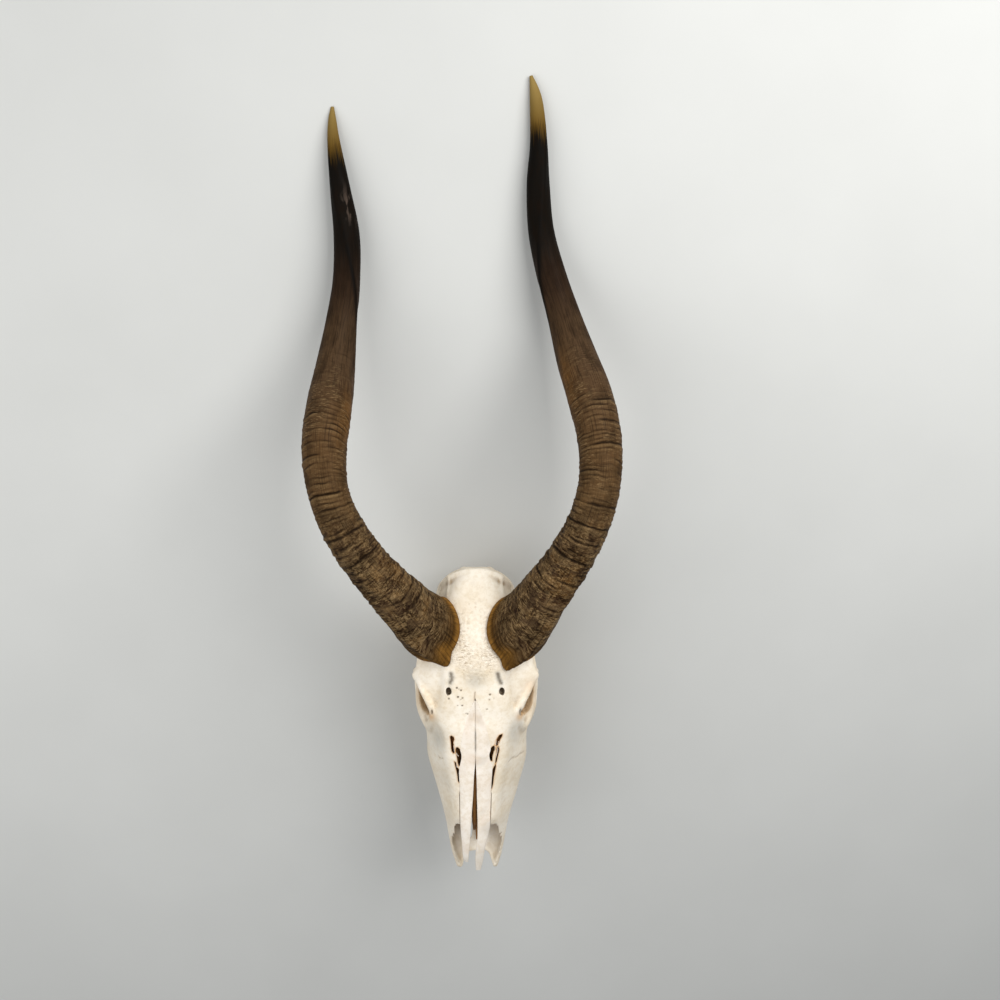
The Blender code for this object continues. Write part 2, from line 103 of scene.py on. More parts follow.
def loft(name, rings):
    # a closed skin over rings with the same number of points, capped at both ends
    bm = bmesh.new()
    rows = [[bm.verts.new(p) for p in ring] for ring in rings]
    for low, high in zip(rows, rows[1:]):
        for k in range(len(low)):
            n = (k + 1) % len(low)
            bm.faces.new((low[k], low[n], high[n], high[k]))
    bm.faces.new(rows[0])
    bm.faces.new(rows[-1])
    return meshObject(name, bm)


def ball(name, centre, radii, segments=28):
    bm = bmesh.new()
    bmesh.ops.create_uvsphere(bm, u_segments=segments, v_segments=segments // 2, radius=1.0)
    grown = Matrix.LocRotScale(Vector(centre), None, Vector(radii))
    bmesh.ops.transform(bm, matrix=grown, verts=bm.verts)
    return meshObject(name, bm)


def prism(name, outline, low, high):
    return loft(name, [[(x, y, z) for x, y in outline] for z in (low, high)])


def evaluatedMesh(obj):
    bpy.context.view_layer.update()
    return bpy.data.meshes.new_from_object(obj.evaluated_get(bpy.context.evaluated_depsgraph_get()))


def bar(name, points, steps=6, sides=4):
    # a round bar whose radius changes along its points
    curve = bpy.data.curves.new(name, "CURVE")
    curve.dimensions = "3D"
    curve.bevel_depth = 1.0
    curve.bevel_resolution = sides
    curve.use_fill_caps = True
    count = steps * (len(points) - 1) + 1
    run = curve.splines.new("POLY")
    run.points.add(count - 1)
    for k, knot in enumerate(run.points):
        x, y, z, radius = spline(points, k / (count - 1))
        knot.co = (x, y, z, 1.0)
        knot.radius = radius
    guide = bpy.data.objects.new(name, curve)
    bpy.context.scene.collection.objects.link(guide)
    mesh = evaluatedMesh(guide)
    bpy.data.objects.remove(guide)
    bm = bmesh.new()
    bm.from_mesh(mesh)
    bmesh.ops.remove_doubles(bm, verts=bm.verts, dist=0.0001)
    return meshObject(name, bm)


def mirrored(points):
    return tuple((-p[0], *p[1:]) for p in points)


def applyModifiers(obj):
    made = evaluatedMesh(obj)
    obj.modifiers.clear()
    obj.data = made


def joined(name, pieces):
    bm = bmesh.new()
    for piece in pieces:
        bm.from_mesh(piece.data)
        bpy.data.objects.remove(piece)
    return meshObject(name, bm)


def softSkin(obj, voxel, rounds):
    # one even skin over all that overlaps, then smoothed
    remesh = obj.modifiers.new("skin", "REMESH")
    remesh.mode = "VOXEL"
    remesh.voxel_size = voxel
    soften = obj.modifiers.new("soften", "SMOOTH")
    soften.factor = 0.5
    soften.iterations = rounds
    applyModifiers(obj)


def cutBy(obj, cutter, operation="DIFFERENCE", keep=False):
    cut = obj.modifiers.new("cut", "BOOLEAN")
    cut.operation = operation
    cut.solver = "MANIFOLD"
    cut.object = cutter
    applyModifiers(obj)
    if not keep:
        bpy.data.objects.remove(cutter)


def largestBody(obj):
    # drops loose crumbs that a cut leaves behind
    bm = bmesh.new()
    bm.from_mesh(obj.data)
    left = set(bm.verts)
    bodies = []
    while left:
        front = [left.pop()]
        body = set(front)
        while front:
            for edge in front.pop().link_edges:
                for vert in edge.verts:
                    if vert in left:
                        left.discard(vert)
                        body.add(vert)
                        front.append(vert)
        bodies.append(body)
    bodies.sort(key=len)
    for body in bodies[:-1]:
        bmesh.ops.delete(bm, geom=list(body), context="VERTS")
    bm.to_mesh(obj.data)
    bm.free()


def duplicate(obj, name):
    made = bpy.data.objects.new(name, obj.data.copy())
    bpy.context.scene.collection.objects.link(made)
    return made


def readPoints(obj, what="co"):
    flat = np.empty(len(obj.data.vertices) * 3)
    obj.data.vertices.foreach_get(what, flat)
    return flat.reshape(-1, 3)


def writePoints(obj, spots):
    obj.data.vertices.foreach_set("co", spots.ravel())
    obj.data.update()


def paint(obj, name, values):
    layer = obj.data.attributes.new(name, "FLOAT", "POINT")
    layer.data.foreach_set("value", np.clip(values, 0.0, 1.0))


def grit(spots, size, seed=0.0):
    # smooth noise from about -1 to 1 with blobs of this size
    apart = Vector((seed, seed * 0.7, seed * 1.3))
    return np.array([noise.noise(Vector(p) / size + apart) for p in spots])


def ease(low, high, values):
    f = np.clip((values - low) / (high - low), 0.0, 1.0)
    return f * f * (3 - 2 * f)


def bell(away, reach):
    # 1 in the middle, fading smoothly past its reach
    return np.exp(-(away / reach) ** 2)


def mound(x, y, cx, cy, rx, ry):
    # the same in plan, over an oval
    return np.exp(-((x - cx) / rx) ** 2 - ((y - cy) / ry) ** 2)


def lineDistance(x, y, points):
    # distance in plan from a line through points
    best = np.full(len(x), 1e9)
    for (ax, ay), (bx, by) in zip(points, points[1:]):
        dx, dy = bx - ax, by - ay
        f = np.clip(((x - ax) * dx + (y - ay) * dy) / (dx * dx + dy * dy), 0.0, 1.0)
        best = np.minimum(best, np.hypot(x - ax - f * dx, y - ay - f * dy))
    return best


def hollowness(obj, spots, normals):
    # how far each point lies below its neighbours, smoothed: grooves positive, edges negative
    ends = np.empty(len(obj.data.edges) * 2, dtype=np.int64)
    obj.data.edges.foreach_get("vertices", ends)
    a, b = ends.reshape(-1, 2).T
    count = np.bincount(a, minlength=len(spots)) + np.bincount(b, minlength=len(spots))
    count = np.maximum(count, 1)

    def average(values):
        return (np.bincount(a, values[b], len(spots)) + np.bincount(b, values[a], len(spots))) / count

    mean = np.stack([average(spots[:, k]) for k in range(3)], axis=1)
    depth = ((mean - spots) * normals).sum(axis=1)
    return average(average(depth))


def finishPiece(obj, mat, slot, *nodes):
    mesh = obj.data
    mesh.materials.clear()
    mesh.materials.append(mat)
    mesh.polygons.foreach_set("material_index", np.zeros(len(mesh.polygons), dtype=np.int32))
    mesh.shade_smooth()
    mesh.set_sharp_from_angle(angle=sharpFrom)
    mesh.transform(toGround)
    spots = readPoints(obj)
    spots[:, 2] = np.maximum(spots[:, 2], 0.0)  # what touches the floor rests flat on it
    writePoints(obj, spots)
    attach(obj, "root")
    if nodes:
        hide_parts(*nodes)


# small tools for materials

def linear(code):
    # sRGB hex to the linear values that Blender wants
    parts = [int(code[k:k + 2], 16) / 255 for k in (1, 3, 5)]
    return tuple(c / 12.92 if c <= 0.04045 else ((c + 0.055) / 1.055) ** 2.4 for c in parts) + (1.0,)


def addNode(tree, kind, settings=None, links=None):
    # settings go to a socket when its name or number is one, and to the node itself otherwise
    node = tree.nodes.new(kind)
    for key, value in (settings or {}).items():
        if key == "stops":
            ramp = node.color_ramp
            while len(ramp.elements) < len(value):
                ramp.elements.new(0.5)
            for stop, (place, colour) in zip(ramp.elements, value):
                stop.position = place
                stop.color = linear(colour) if isinstance(colour, str) else (colour, colour, colour, 1.0)
        elif isinstance(key, int) or key in node.inputs:
            node.inputs[key].default_value = linear(value) if isinstance(value, str) else value
        else:
            setattr(node, key, value)
    for key, source in (links or {}).items():
        tree.links.new(source, node.inputs[key])
    return node


def newMaterial(name):
    made = bpy.data.materials.new(name)
    made.use_nodes = True
    made.node_tree.nodes.clear()
    return made, made.node_tree


def layoutMillimetres(tree):
    # the surface point in the skull's own frame, whatever way the skull is tipped
    spot = addNode(tree, "ShaderNodeTexCoord")
    back = Matrix.Rotation(tilt, 3, "X") @ Vector(placing["middle"])
    turned = addNode(tree, "ShaderNodeMapping", {
        "Location": back, "Rotation": (tilt, 0, 0), "Scale": (1000, 1000, 1000),
    }, {"Vector": spot.outputs["Object"]})
    return turned.outputs["Vector"]


# bleached bone: boiled, degreased and whitened with peroxide, so dry and chalky, with ivory clouds, open pores and
# faint ochre stains where fat and soil stayed; grey, tan and dark painted shade in hollows, pits and on the snout's
# sides
boneLook = {
    "light": "#F6ECDB",
    "warm": "#EADBC2",
    "stain": "#C99A62",
    "grey": "#A9A79E",
    "inside": "#8A5C26",
    "orbit": "#B8996F",
    # pit colour: painted shade in pits, holes and grooves, and also dark seams, cracks and blotches
    "pit": "#4F4335",
    "fleck": "#E2D7C2",
    "furrow": "#A08A6C",
    "hollowShade": "#A58E6C",
    # sizes in millimetres
    "cloudSize": 38.0,
    "fleckSize": 4.5,
    "poreSize": 0.9,  # real pores are finer, and drawn as coarse as the render can show
    "dimpleSize": 1.9,
    "furrowSize": (6.25, 1.3333, 5.0),
    "furrowTurn": 0.35,
    "bumpMetres": 0.0006,
    "roughness": 0.62,
    # painted mask and colour, from below
    "stainsAndShades": (
        ("orbitTan", "orbit"), ("greyDirt", "grey"), ("ochreStain", "stain"), ("inside", "inside"), ("pit", "pit"),
    ),
}


def boneMaterial(name, look):
    made, tree = newMaterial(name)
    spot = layoutMillimetres(tree)
    clouds = addNode(tree, "ShaderNodeTexNoise", {
        "Scale": 1 / look["cloudSize"], "Detail": 5.0, "Roughness": 0.6,
    }, {"Vector": spot})
    colour = addNode(tree, "ShaderNodeValToRGB", {
        "stops": ((0.36, look["warm"]), (0.62, look["light"])),
    }, {"Fac": clouds.outputs["Fac"]})
    pores = addNode(tree, "ShaderNodeTexNoise", {"Scale": 1 / look["poreSize"], "Detail": 3.0}, {"Vector": spot})
    flecks = addNode(tree, "ShaderNodeTexNoise", {
        "Scale": 1 / look["fleckSize"], "Detail": 4.0, "Roughness": 0.65,
    }, {"Vector": spot})
    speck = addNode(tree, "ShaderNodeValToRGB", {
        "stops": ((0.38, look["fleck"]), (0.55, "#FFFFFF")),
    }, {"Fac": flecks.outputs["Fac"]})
    tone = addNode(tree, "ShaderNodeMix", {"data_type": "RGBA", "blend_type": "MULTIPLY", 0: 0.35}, {
        6: colour.outputs["Color"], 7: speck.outputs["Color"],
    })
    # the same noise breaks up the edge of each stain and painted shade
    edge = addNode(tree, "ShaderNodeMath", {"operation": "MULTIPLY_ADD", 1: 0.35, 2: -0.175}, {
        0: flecks.outputs["Fac"],
    })
    for layer, shade in look["stainsAndShades"]:
        mask = addNode(tree, "ShaderNodeAttribute", {"attribute_name": layer})
        broken = addNode(tree, "ShaderNodeMath", {"operation": "ADD", "use_clamp": True}, {
            0: mask.outputs["Fac"], 1: edge.outputs[0],
        })
        held = addNode(tree, "ShaderNodeMath", {"operation": "MULTIPLY", "use_clamp": True}, {
            0: mask.outputs["Fac"], 1: broken.outputs[0],
        })
        full = addNode(tree, "ShaderNodeMath", {"operation": "POWER", 1: 0.55, "use_clamp": True}, {
            0: held.outputs[0],
        })
        tone = addNode(tree, "ShaderNodeMix", {"data_type": "RGBA", 7: look[shade]}, {
            0: full.outputs[0], 6: tone.outputs[2],
        })
    # hair-fine furrows on the brow, drawn out across it
    drawnOut = addNode(tree, "ShaderNodeMapping", {
        "Rotation": (0, 0, look["furrowTurn"]), "Scale": [1 / size for size in look["furrowSize"]],
    }, {"Vector": spot})
    strokes = addNode(tree, "ShaderNodeTexNoise", {"Scale": 1.0, "Detail": 3.0, "Distortion": 0.8}, {
        "Vector": drawnOut.outputs[0],
    })
    thin = addNode(tree, "ShaderNodeValToRGB", {"stops": ((0.465, 0.0), (0.50, 1.0), (0.535, 0.0))}, {
        "Fac": strokes.outputs["Fac"],
    })
    hairs = addNode(tree, "ShaderNodeAttribute", {"attribute_name": "hairs"})
    hairy = addNode(tree, "ShaderNodeMath", {"operation": "MULTIPLY", "use_clamp": True}, {
        0: thin.outputs["Color"], 1: hairs.outputs["Fac"],
    })
    # painted shade: the groove mask darkens hollow places
    groove = addNode(tree, "ShaderNodeAttribute", {"attribute_name": "groove"})
    for fade, shade in ((hairy.outputs[0], "furrow"), (groove.outputs["Fac"], "hollowShade")):
        tone = addNode(tree, "ShaderNodeMix", {"data_type": "RGBA", "blend_type": "MULTIPLY", 7: look[shade]}, {
            0: fade, 6: tone.outputs[2],
        })
    rough = addNode(tree, "ShaderNodeAttribute", {"attribute_name": "rough"})
    cells = addNode(tree, "ShaderNodeTexVoronoi", {"Scale": 1 / look["dimpleSize"]}, {"Vector": spot})
    dimple = addNode(tree, "ShaderNodeMath", {"operation": "MULTIPLY"}, {
        0: cells.outputs["Distance"], 1: rough.outputs["Fac"],
    })
    height = addNode(tree, "ShaderNodeMath", {"operation": "MULTIPLY_ADD", 1: 0.5}, {
        0: pores.outputs["Fac"], 2: dimple.outputs[0],
    })
    bump = addNode(tree, "ShaderNodeBump", {"Strength": 0.35, "Distance": look["bumpMetres"]}, {
        "Height": height.outputs[0],
    })
    sheen = addNode(tree, "ShaderNodeMapRange", {
        "From Min": 0.3, "From Max": 0.7, "To Min": look["roughness"] - 0.08, "To Max": look["roughness"] + 0.1,
    }, {"Value": clouds.outputs["Fac"]})
    shader = addNode(tree, "ShaderNodeBsdfPrincipled", {"IOR": 1.55, "Specular IOR Level": 0.35}, {
        "Base Color": tone.outputs[2], "Roughness": sheen.outputs[0], "Normal": bump.outputs["Normal"],
    })
    addNode(tree, "ShaderNodeOutputMaterial", links={"Surface": shader.outputs[0]})
    return made


bleachedBone = boneMaterial("bleachedBone", boneLook)
bleachedNasalBone = boneMaterial("bleachedNasalBone", {
    **boneLook, "warm": "#F0E4D4", "light": "#F6EDE0", "cloudSize": 26.0, "roughness": 0.58,
})
print("materials of bone ready")


# the skull, as cross sections from nose to occiput: y, then x and z of the roof's edge, the
# shoulder, the widest point and the base's edge, then the height of roof and palate in the middle
skull = {
    "voxel": 1.45,
    "rounds": 9,
    "sections": (
        (1.0, 10, 20, 15, 19, 20.0, 15, 13, 9, 20, 9),
        (16.0, 16, 30, 21, 27, 24.8, 19, 17, 10, 31, 10),
        (34.0, 17, 42, 23, 38, 27.8, 27, 18, 11, 43, 12),
        (50.0, 16, 59, 22, 53, 30.0, 32, 18, 12, 60, 15),
        (64.0, 15, 74, 23, 62, 32.8, 36, 20, 13, 76, 18),
        (80.0, 15, 79, 24, 68, 37.0, 38, 26, 13, 81, 19),
        (95.0, 16, 83, 26, 73, 41.0, 40, 31, 13, 86, 19),
        (108.0, 16, 87, 29, 77, 45.0, 41, 34, 13, 90, 19),
        (122.0, 17, 92, 32, 82, 48.3, 43, 36, 13, 94, 19),
        (138.0, 19, 97, 35, 87, 48.8, 46, 37, 13, 99, 19),
        (152.0, 23, 101, 39, 90, 49.5, 50, 37, 14, 103, 20),
        (166.0, 27, 104, 41, 93, 47.0, 58, 34, 17, 106, 22),
        (178.0, 28, 108, 37, 95, 38.0, 66, 24, 34, 110, 40),
        (192.0, 28, 112, 34, 98, 31.0, 74, 15, 48, 114, 50),
        (208.0, 28, 115, 34, 100, 33.0, 76, 14, 44, 118, 44),
        (225.0, 28, 117, 36, 102, 36.0, 78, 15, 42, 121, 42),
        (245.0, 25, 118, 36, 104, 37.5, 78, 17, 42, 123, 42),
        (265.0, 21, 117, 32, 104, 38.5, 76, 20, 42, 120, 42),
        (282.0, 19, 112, 28, 102, 38.0, 72, 22, 43, 114, 43),
        (293.0, 14, 108, 23, 98, 33.0, 74, 20, 46, 109, 46),
        (301.0, 9, 105, 17, 97, 24.0, 78, 15, 54, 107, 54),
        (306.5, 5, 104, 9, 98, 12.0, 86, 8, 70, 105, 70),
    ),
    # brow plate outward: x, front y, back y, z, half thickness
    "brow": (
        (12.0, 176.0, 255.0, 107.0, 9.0), (30.0, 178.0, 250.0, 103.5, 9.0), (42.0, 183.0, 246.0, 100.5, 7.5),
        (48.0, 188.0, 238.0, 99.0, 6.5), (52.5, 193.5, 227.0, 98.5, 6.0), (55.0, 197.5, 217.0, 98.0, 5.0),
        (57.5, 200.5, 210.5, 97.5, 4.2), (59.8, 203.0, 208.0, 97.5, 3.0),
    ),
    "browTurn": 208.0,
    "browFall": 0.28,
    # bars of the left side, mirrored for the right: x, y, z, radius
    "bars": {
        "cheekArch": (
            (40, 128, 46, 6), (42, 142, 52, 6), (45.5, 152, 56, 5.5), (50, 161, 59, 5.5), (53, 172, 61, 5.6),
            (54.2, 186, 62, 5.4), (54.6, 200, 64, 5.4), (51.5, 222, 68, 5.2), (47, 243, 72, 5.2), (38, 260, 74, 7),
        ),
        "orbitRim": (
            (55, 206, 95, 4), (52, 199, 98, 4), (48.4, 190, 99, 4), (44, 181, 98, 4), (40, 171, 94, 4.2),
            (41, 160, 85, 4.4), (45, 154, 73, 4.4), (50, 160, 66, 4), (53, 174, 65, 3.6), (54, 190, 66, 3.6),
            (54.5, 203, 72, 4), (55.5, 208, 84, 4.4), (55, 206, 95, 4),
        ),
        "jugularProcess": ((28.5, 287, 62, 7), (29.5, 288, 44, 5.6), (29, 286.5, 30, 4.4), (28, 285, 14.5, 3.4)),
        "nuchalCrest": ((34, 286, 76, 3.4), (30, 292.5, 90, 3.4), (20, 299.5, 98, 3.4), (6, 304, 101.5, 3.2)),
        "hornPedicle": ((24, 236, 82, 19), (34, 244, 96, 19), (40, 250, 106, 15)),
        "noseProng": ((23, 30, 15, 4.5), (21.2, 16, 13.5, 3.6), (19.4, 6, 12.5, 3), (18, 0, 12.5, 2.4)),
        "condyleBridge": ((20, 285, 52, 7), (12, 292, 46, 7), (0, 288, 42, 6)),
    },
    # centre and radii, left side; the first two hollows are the orbit
    "swellings": (
        ((12, 295, 53), (8, 11, 13)), ((18, 262, 40), (9, 15, 13)), ((38, 257, 70), (9, 9, 6)),
        ((31, 276, 60), (8, 8, 9)), ((39, 138, 44), (9.5, 17, 12)), ((13, 190, 42), (2.6, 24, 20)),
        ((8, 200, 46), (9, 44, 5)),
    ),
    "hollows": (
        ((50, 184, 82.5), (28, 19, 14.5)), ((45.5, 184, 72), (9.8, 19, 10)), ((24.4, 193, 110), (2.5, 4.2, 7)),
        ((7.2, 43, 12), (2.6, 15, 12)), ((41.5, 167, 86), (1.7, 3.4, 6)), ((37, 283, 106), (10, 17, 10)),
    ),
    # y, half breadth, floor z, roof z
    "nasalCavity": (
        (-12.0, 17.0, 14.0, 30.0), (2.0, 17.0, 14.0, 30.0), (16.0, 21.0, 15.0, 40.0), (34.0, 24.5, 16.5, 52.0),
        (50.0, 26.0, 18.5, 62.0), (64.0, 27.5, 22.0, 70.0), (95.0, 30.0, 24.0, 80.0), (122.0, 34.0, 25.0, 89.0),
        (150.0, 34.0, 26.0, 96.0), (172.0, 24.0, 30.0, 98.0),
    ),
    "cavityTaper": 0.32,  # how much narrower it is at the roof
    # openings seen from above: y and half breadth
    "noseOpening": ((-12, 14.5), (2, 16.6), (16, 20.3), (34, 21.8), (50, 21.2), (57, 19.0)),
    "noseNotch": (
        (-15.0, -12), (-15.0, 0), (-12.4, 12), (-9.2, 16), (-2.5, 17.2), (7.9, 17.6), (11.9, 14.8), (16.2, 2),
        (16.2, -12),
    ),
    # ragged openings beside the nasal bones, seen from above
    "fissures": (
        (
            (-24.1, 148.2), (-22.7, 149.3), (-20.5, 148.2), (-19.8, 145.6), (-20.9, 142.6), (-20.1, 137.3),
            (-19.4, 134.4), (-19.8, 132.0), (-21.1, 131.2), (-22.7, 133.2), (-23.1, 137.3), (-23.4, 142.5),
        ),
        (
            (-18.2, 137.6), (-16.5, 137.9), (-14.7, 136.0), (-13.2, 134.0), (-13.0, 120.0), (-16.1, 118.7),
            (-17.0, 122.0), (-17.6, 126.7), (-18.4, 130.8), (-18.8, 135.0),
        ),
        (
            (-20.3, 123.4), (-18.8, 122.6), (-18.2, 119.7), (-17.0, 117.3), (-15.0, 113.8), (-15.0, 103.0),
            (-16.2, 101.5), (-17.0, 103.2), (-17.6, 109.1), (-18.4, 113.8), (-19.6, 119.1),
        ),
        (
            (25.4, 150.9), (22.4, 150.0), (20.6, 147.3), (19.2, 144.4), (18.3, 140.2), (20.1, 138.5),
            (21.8, 141.5), (23.4, 145.6), (25.1, 148.5),
        ),
        (
            (15.4, 138.5), (17.4, 139.6), (18.9, 136.7), (17.1, 133.2), (15.9, 128.5), (15.7, 123.8),
            (13.0, 124.4), (12.6, 129.7), (12.6, 133.2), (13.4, 136.1),
        ),
        (
            (20.1, 137.3), (21.8, 138.5), (22.5, 135.0), (21.2, 129.1), (19.7, 122.6), (18.5, 120.9),
            (18.9, 126.7), (19.5, 132.6),
        ),
        (
            (18.9, 120.9), (19.2, 118.0), (18.1, 112.6), (17.1, 106.7), (16.5, 100.8), (15.4, 95.5),
            (14.0, 95.5), (14.6, 105.5), (14.6, 112.6), (16.5, 116.7),
        ),
    ),
}

teeth = {
    # from front to back: y, x, length, breadth and lobes
    "row": (
        (84, 21.5, 9, 8, 1), (94.5, 24.0, 10, 10, 1), (106, 26.5, 11, 12, 1),
        (119.5, 29.0, 14, 14, 2), (135.5, 30.5, 16, 15, 2), (153, 30.5, 17, 14, 2),
    ),
    # height and share of the breadth, from the biting edge to the end of the root
    "socketRows": (
        (0.0, 0.90), (1.0, 0.94), (4.0, 0.97), (8.0, 1.0), (11.0, 0.98), (13.0, 0.9), (17.0, 0.84), (19.0, 0.76),
        (20.0, 0.62),
    ),
    "socketGap": 0.45,
    "crownRows": (
        (20.0, 0.62), (19.0, 0.76), (17.0, 0.84), (13.0, 0.9), (11.5, 0.96), (8.0, 1.0), (4.0, 0.97), (1.4, 0.94),
        (0.5, 0.92),
    ),
    "biteRings": 12,
    "relief": 1.3,
    "gumLine": 11.5,
}


def skullRings(count, points):
    rings = []
    for y, ex, ez, sx, sz, wx, wz, bx, bz, roof, palate in smoothRows(skull["sections"], count):
        half = [(ex, ez), (sx, sz), (wx, wz), (bx, bz)]
        outline = [(0, roof), *half, (0, palate), *[(-x, z) for x, z in reversed(half)]]
        rings.append([(x, y, z) for x, z in closedSpline(outline, points)])
    return rings


boxyTurns = [squared(k * math.tau / 40) for k in range(40)]


def browRings(side):
    rings = []
    for x, front, back, z, thick in smoothRows(skull["brow"], 22):
        ring = []
        for across, up in boxyTurns:
            y = (front + back) / 2 + (back - front) / 2 * across
            fall = skull["browFall"] * min(0.0, y - skull["browTurn"])
            ring.append((side * x, y, z + thick * up + fall))
        rings.append(ring)
    return rings


def cavityRings():
    rings = []
    for y, half, floor, roof in smoothRows(skull["nasalCavity"], 40):
        ring = []
        for across, up in boxyTurns:
            taper = 1.0 - skull["cavityTaper"] * max(0.0, up)
            ring.append((half * across * taper, y, (floor + roof) / 2 + (roof - floor) / 2 * up))
        rings.append(ring)
    return rings


def fromAbove(table):
    return [(x, y) for y, x in table] + [(-x, y) for y, x in reversed(table)]


def toothOutline(length, breadth, lobes, share, spare=0.0, count=48):
    # ribs on the cheek side, a fold between the two lobes of a molar
    outline = []
    for k in range(count):
        turn = (k + 0.5) * math.tau / count
        across, lengthwise = squared(turn, 0.7)
        fold = 0.0
        if lobes == 2:
            fold = 0.16 * math.exp(-((lengthwise / 0.22) ** 2)) * abs(across)
        rib = 0.05 * math.cos(lengthwise * math.pi * (2 * lobes)) * max(0.0, across)
        across *= 1.0 - fold + rib
        outline.append((across * (share * breadth / 2 + spare), lengthwise * (share * length / 2 + spare)))
    return outline


def toothSocket(side, y, x, length, breadth, lobes):
    # what a tooth and the gap round it take out of the bone
    rings = []
    rows, gap = teeth["socketRows"], teeth["socketGap"]
    for z, share in rows:
        deeper = gap if z == rows[-1][0] else -gap if z == rows[0][0] else 0.0
        outline = toothOutline(length, breadth, lobes, share, gap)
        rings.append([(side * (x + u), y + v, z + deeper) for u, v in outline])
    return loft("socket", rings)


pieces = [loft("core", skullRings(90, 96))]
for side in (1, -1):
    pieces.append(loft("brow", browRings(side)))
    for points in skull["bars"].values():
        pieces.append(bar("bar", points if side > 0 else mirrored(points)))
    for (x, y, z), radii in skull["swellings"]:
        pieces.append(ball("swelling", (side * x, y, z), radii))
cranium = joined("cranium_bone", pieces)
softSkin(cranium, skull["voxel"], skull["rounds"])
print("skull blocked out:", len(cranium.data.polygons), "faces")

cutters = [
    loft("nasalCavity", cavityRings()),
    prism("noseOpening", fromAbove(skull["noseOpening"]), 24, 140),
    prism("noseNotch", skull["noseNotch"], -5, 40),
    ball("throat", (0, 180, 36), (9.5, 24, 9)),
    ball("brain", (0, 262, 78), (26, 30, 24)),
    ball("foramenMagnum", (0, 302, 66), (10.5, 26, 10)),
]
for side in (1, -1):
    for (x, y, z), radii in skull["hollows"]:
        cutters.append(ball("hollow", (side * x, y, z), radii))
    cutters += [toothSocket(side, *tooth) for tooth in teeth["row"]]
for cutter in cutters:
    cutBy(cranium, cutter)
softSkin(cranium, skull["voxel"], 3)
largestBody(cranium)
print("skull hollowed:", len(cranium.data.polygons), "faces")


def insideNose(x, y, z, spare=1.0):
    # true inside the nasal passage or just under its wall
    at, *table = np.array(skull["nasalCavity"]).T
    half, floor, roof = (np.interp(y, at, row) for row in table)
    half, floor, roof = half + spare, floor - spare, roof + spare
    up = (z - (floor + roof) / 2) / ((roof - floor) / 2)
    across = x / (half * (1.0 - skull["cavityTaper"] * np.clip(up, 0.0, 1.0)))
    inside = (np.abs(across) ** 3 + np.abs(up) ** 3) < 1.0
    return inside & (y > -5) & (y < 174)


# what the surface of the bone shows, in plan: x, y in millimetres
relief = {
    # x, y, reach in x, reach in y, depth
    "dents": (
        (-37, 144, 8, 15, 2.6), (37.5, 149, 7, 13, 2.3), (0, 203, 10, 9, 0.9), (-34, 198, 9, 12, 1.0),
        (34, 198, 9, 12, 1.0),
    ),
    "shadedDents": 3,  # how many of them get grey painted shade
    # the animal's left cheek bulges: middle y, reach, height
    "cheekBulge": (92, 34, 1.6),
    # x, y, radius, depth
    "pits": (
        (-17.0, 196.2, 0.9, 1.2), (-13.2, 193.9, 0.8, 1.2), (-16.0, 187.4, 0.9, 1.3), (-11.8, 186.5, 0.8, 1.0),
        (-24.6, 185.6, 0.9, 1.0), (-12.2, 179.1, 0.8, 1.1), (-16.4, 179.1, 0.6, 0.7), (-7.1, 170.8, 0.9, 0.7),
        (-15.0, 195.0, 0.6, 0.7), (-13.4, 185.0, 0.6, 0.7), (-8.6, 171.4, 0.6, 0.6), (13.7, 189.8, 0.9, 1.2),
        (13.2, 184.8, 0.7, 0.8), (11.0, 175.5, 0.7, 0.8), (5.4, 169.1, 0.6, 0.7), (17.5, 186.0, 0.5, 0.5),
    ),
    "pitReach": 0.8,  # share of the radius
    # grooves that run back from the holes above the brow
    "grooves": (((-22.6, 209.0), (-21.6, 205.5), (-23.4, 200.5)), ((21.2, 209.0), (21.9, 205.5), (24.0, 200.5))),
    "grooveDepth": 1.3,
    # x, y and half sizes of the holes above the brow
    "browHole": (24.4, 193, 2.9, 4.5),
    # the lines where the jaw muscles began, running back from the horns
    "ridgeHeight": 0.9,
    "temporalLines": (
        ((-26.2, 298.0), (-25.3, 291.5), (-27.1, 279.4)),
        ((24.9, 298.0), (23.9, 291.5), (25.8, 283.1), (27.6, 280.3)),
    ),
    # holes of the tear ducts on the rim of the orbit: x, y and half sizes
    "tearHoles": ((42.4, 170.6, 1.5, 4.2), (-41.2, 170.8, 1.1, 2.8)),
    "tearDepth": 1.8,
    "crackDepth": 0.5,
    "cracks": (
        ((31.4, 121.0), (34.5, 123.9), (38.3, 123.4), (42.2, 125.3), (47.0, 125.8)),
        ((-36.5, 125.0), (-33.8, 123.6), (-31.4, 124.6)),
        ((14.2, 95.0), (14.6, 88.0), (14.0, 84.0)),
    ),
    "sutureDepth": 0.3,
    "middleSuture": (
        (-0.2, 192.0), (-0.9, 184.0), (-0.3, 176.0), (-0.8, 168.0), (-0.2, 158.0), (-0.5, 146.0), (0.0, 134.0),
    ),
    # x, y of the fields of hair-fine furrows, and their reach
    "furrowFields": ((-15, 236), (18, 236), (-9, 222), (11, 222)),
    "furrowReach": (8.5, 13),
    # furrows that radiate from each horn: x, y of its middle, distance, breadth of the band, depth
    "hornFurrows": (40, 250, 28, 7.0, 0.35),
}


def roughFrontal(x, y, z):
    # the stippled field between the horns, pointed toward the nose
    reach = np.interp(y, (196, 208, 225, 245, 262, 280), (2, 14, 22, 16, 15, 10))
    return (1 - ease(0.75, 1.15, np.abs(x) / reach)) * ease(194, 206, y) * (1 - ease(268, 290, y)) * (z > 95)


def temporalHollow(x, y, z):
    # what lies outside the lines of the jaw muscles
    line = np.interp(y, (262, 279, 291, 298), (29.0, 27.4, 24.6, 25.4))
    return ease(0.0, 1.8, np.abs(x) - line) * ease(262, 272, y) * (1 - ease(296, 301, y)) * (z > 88)


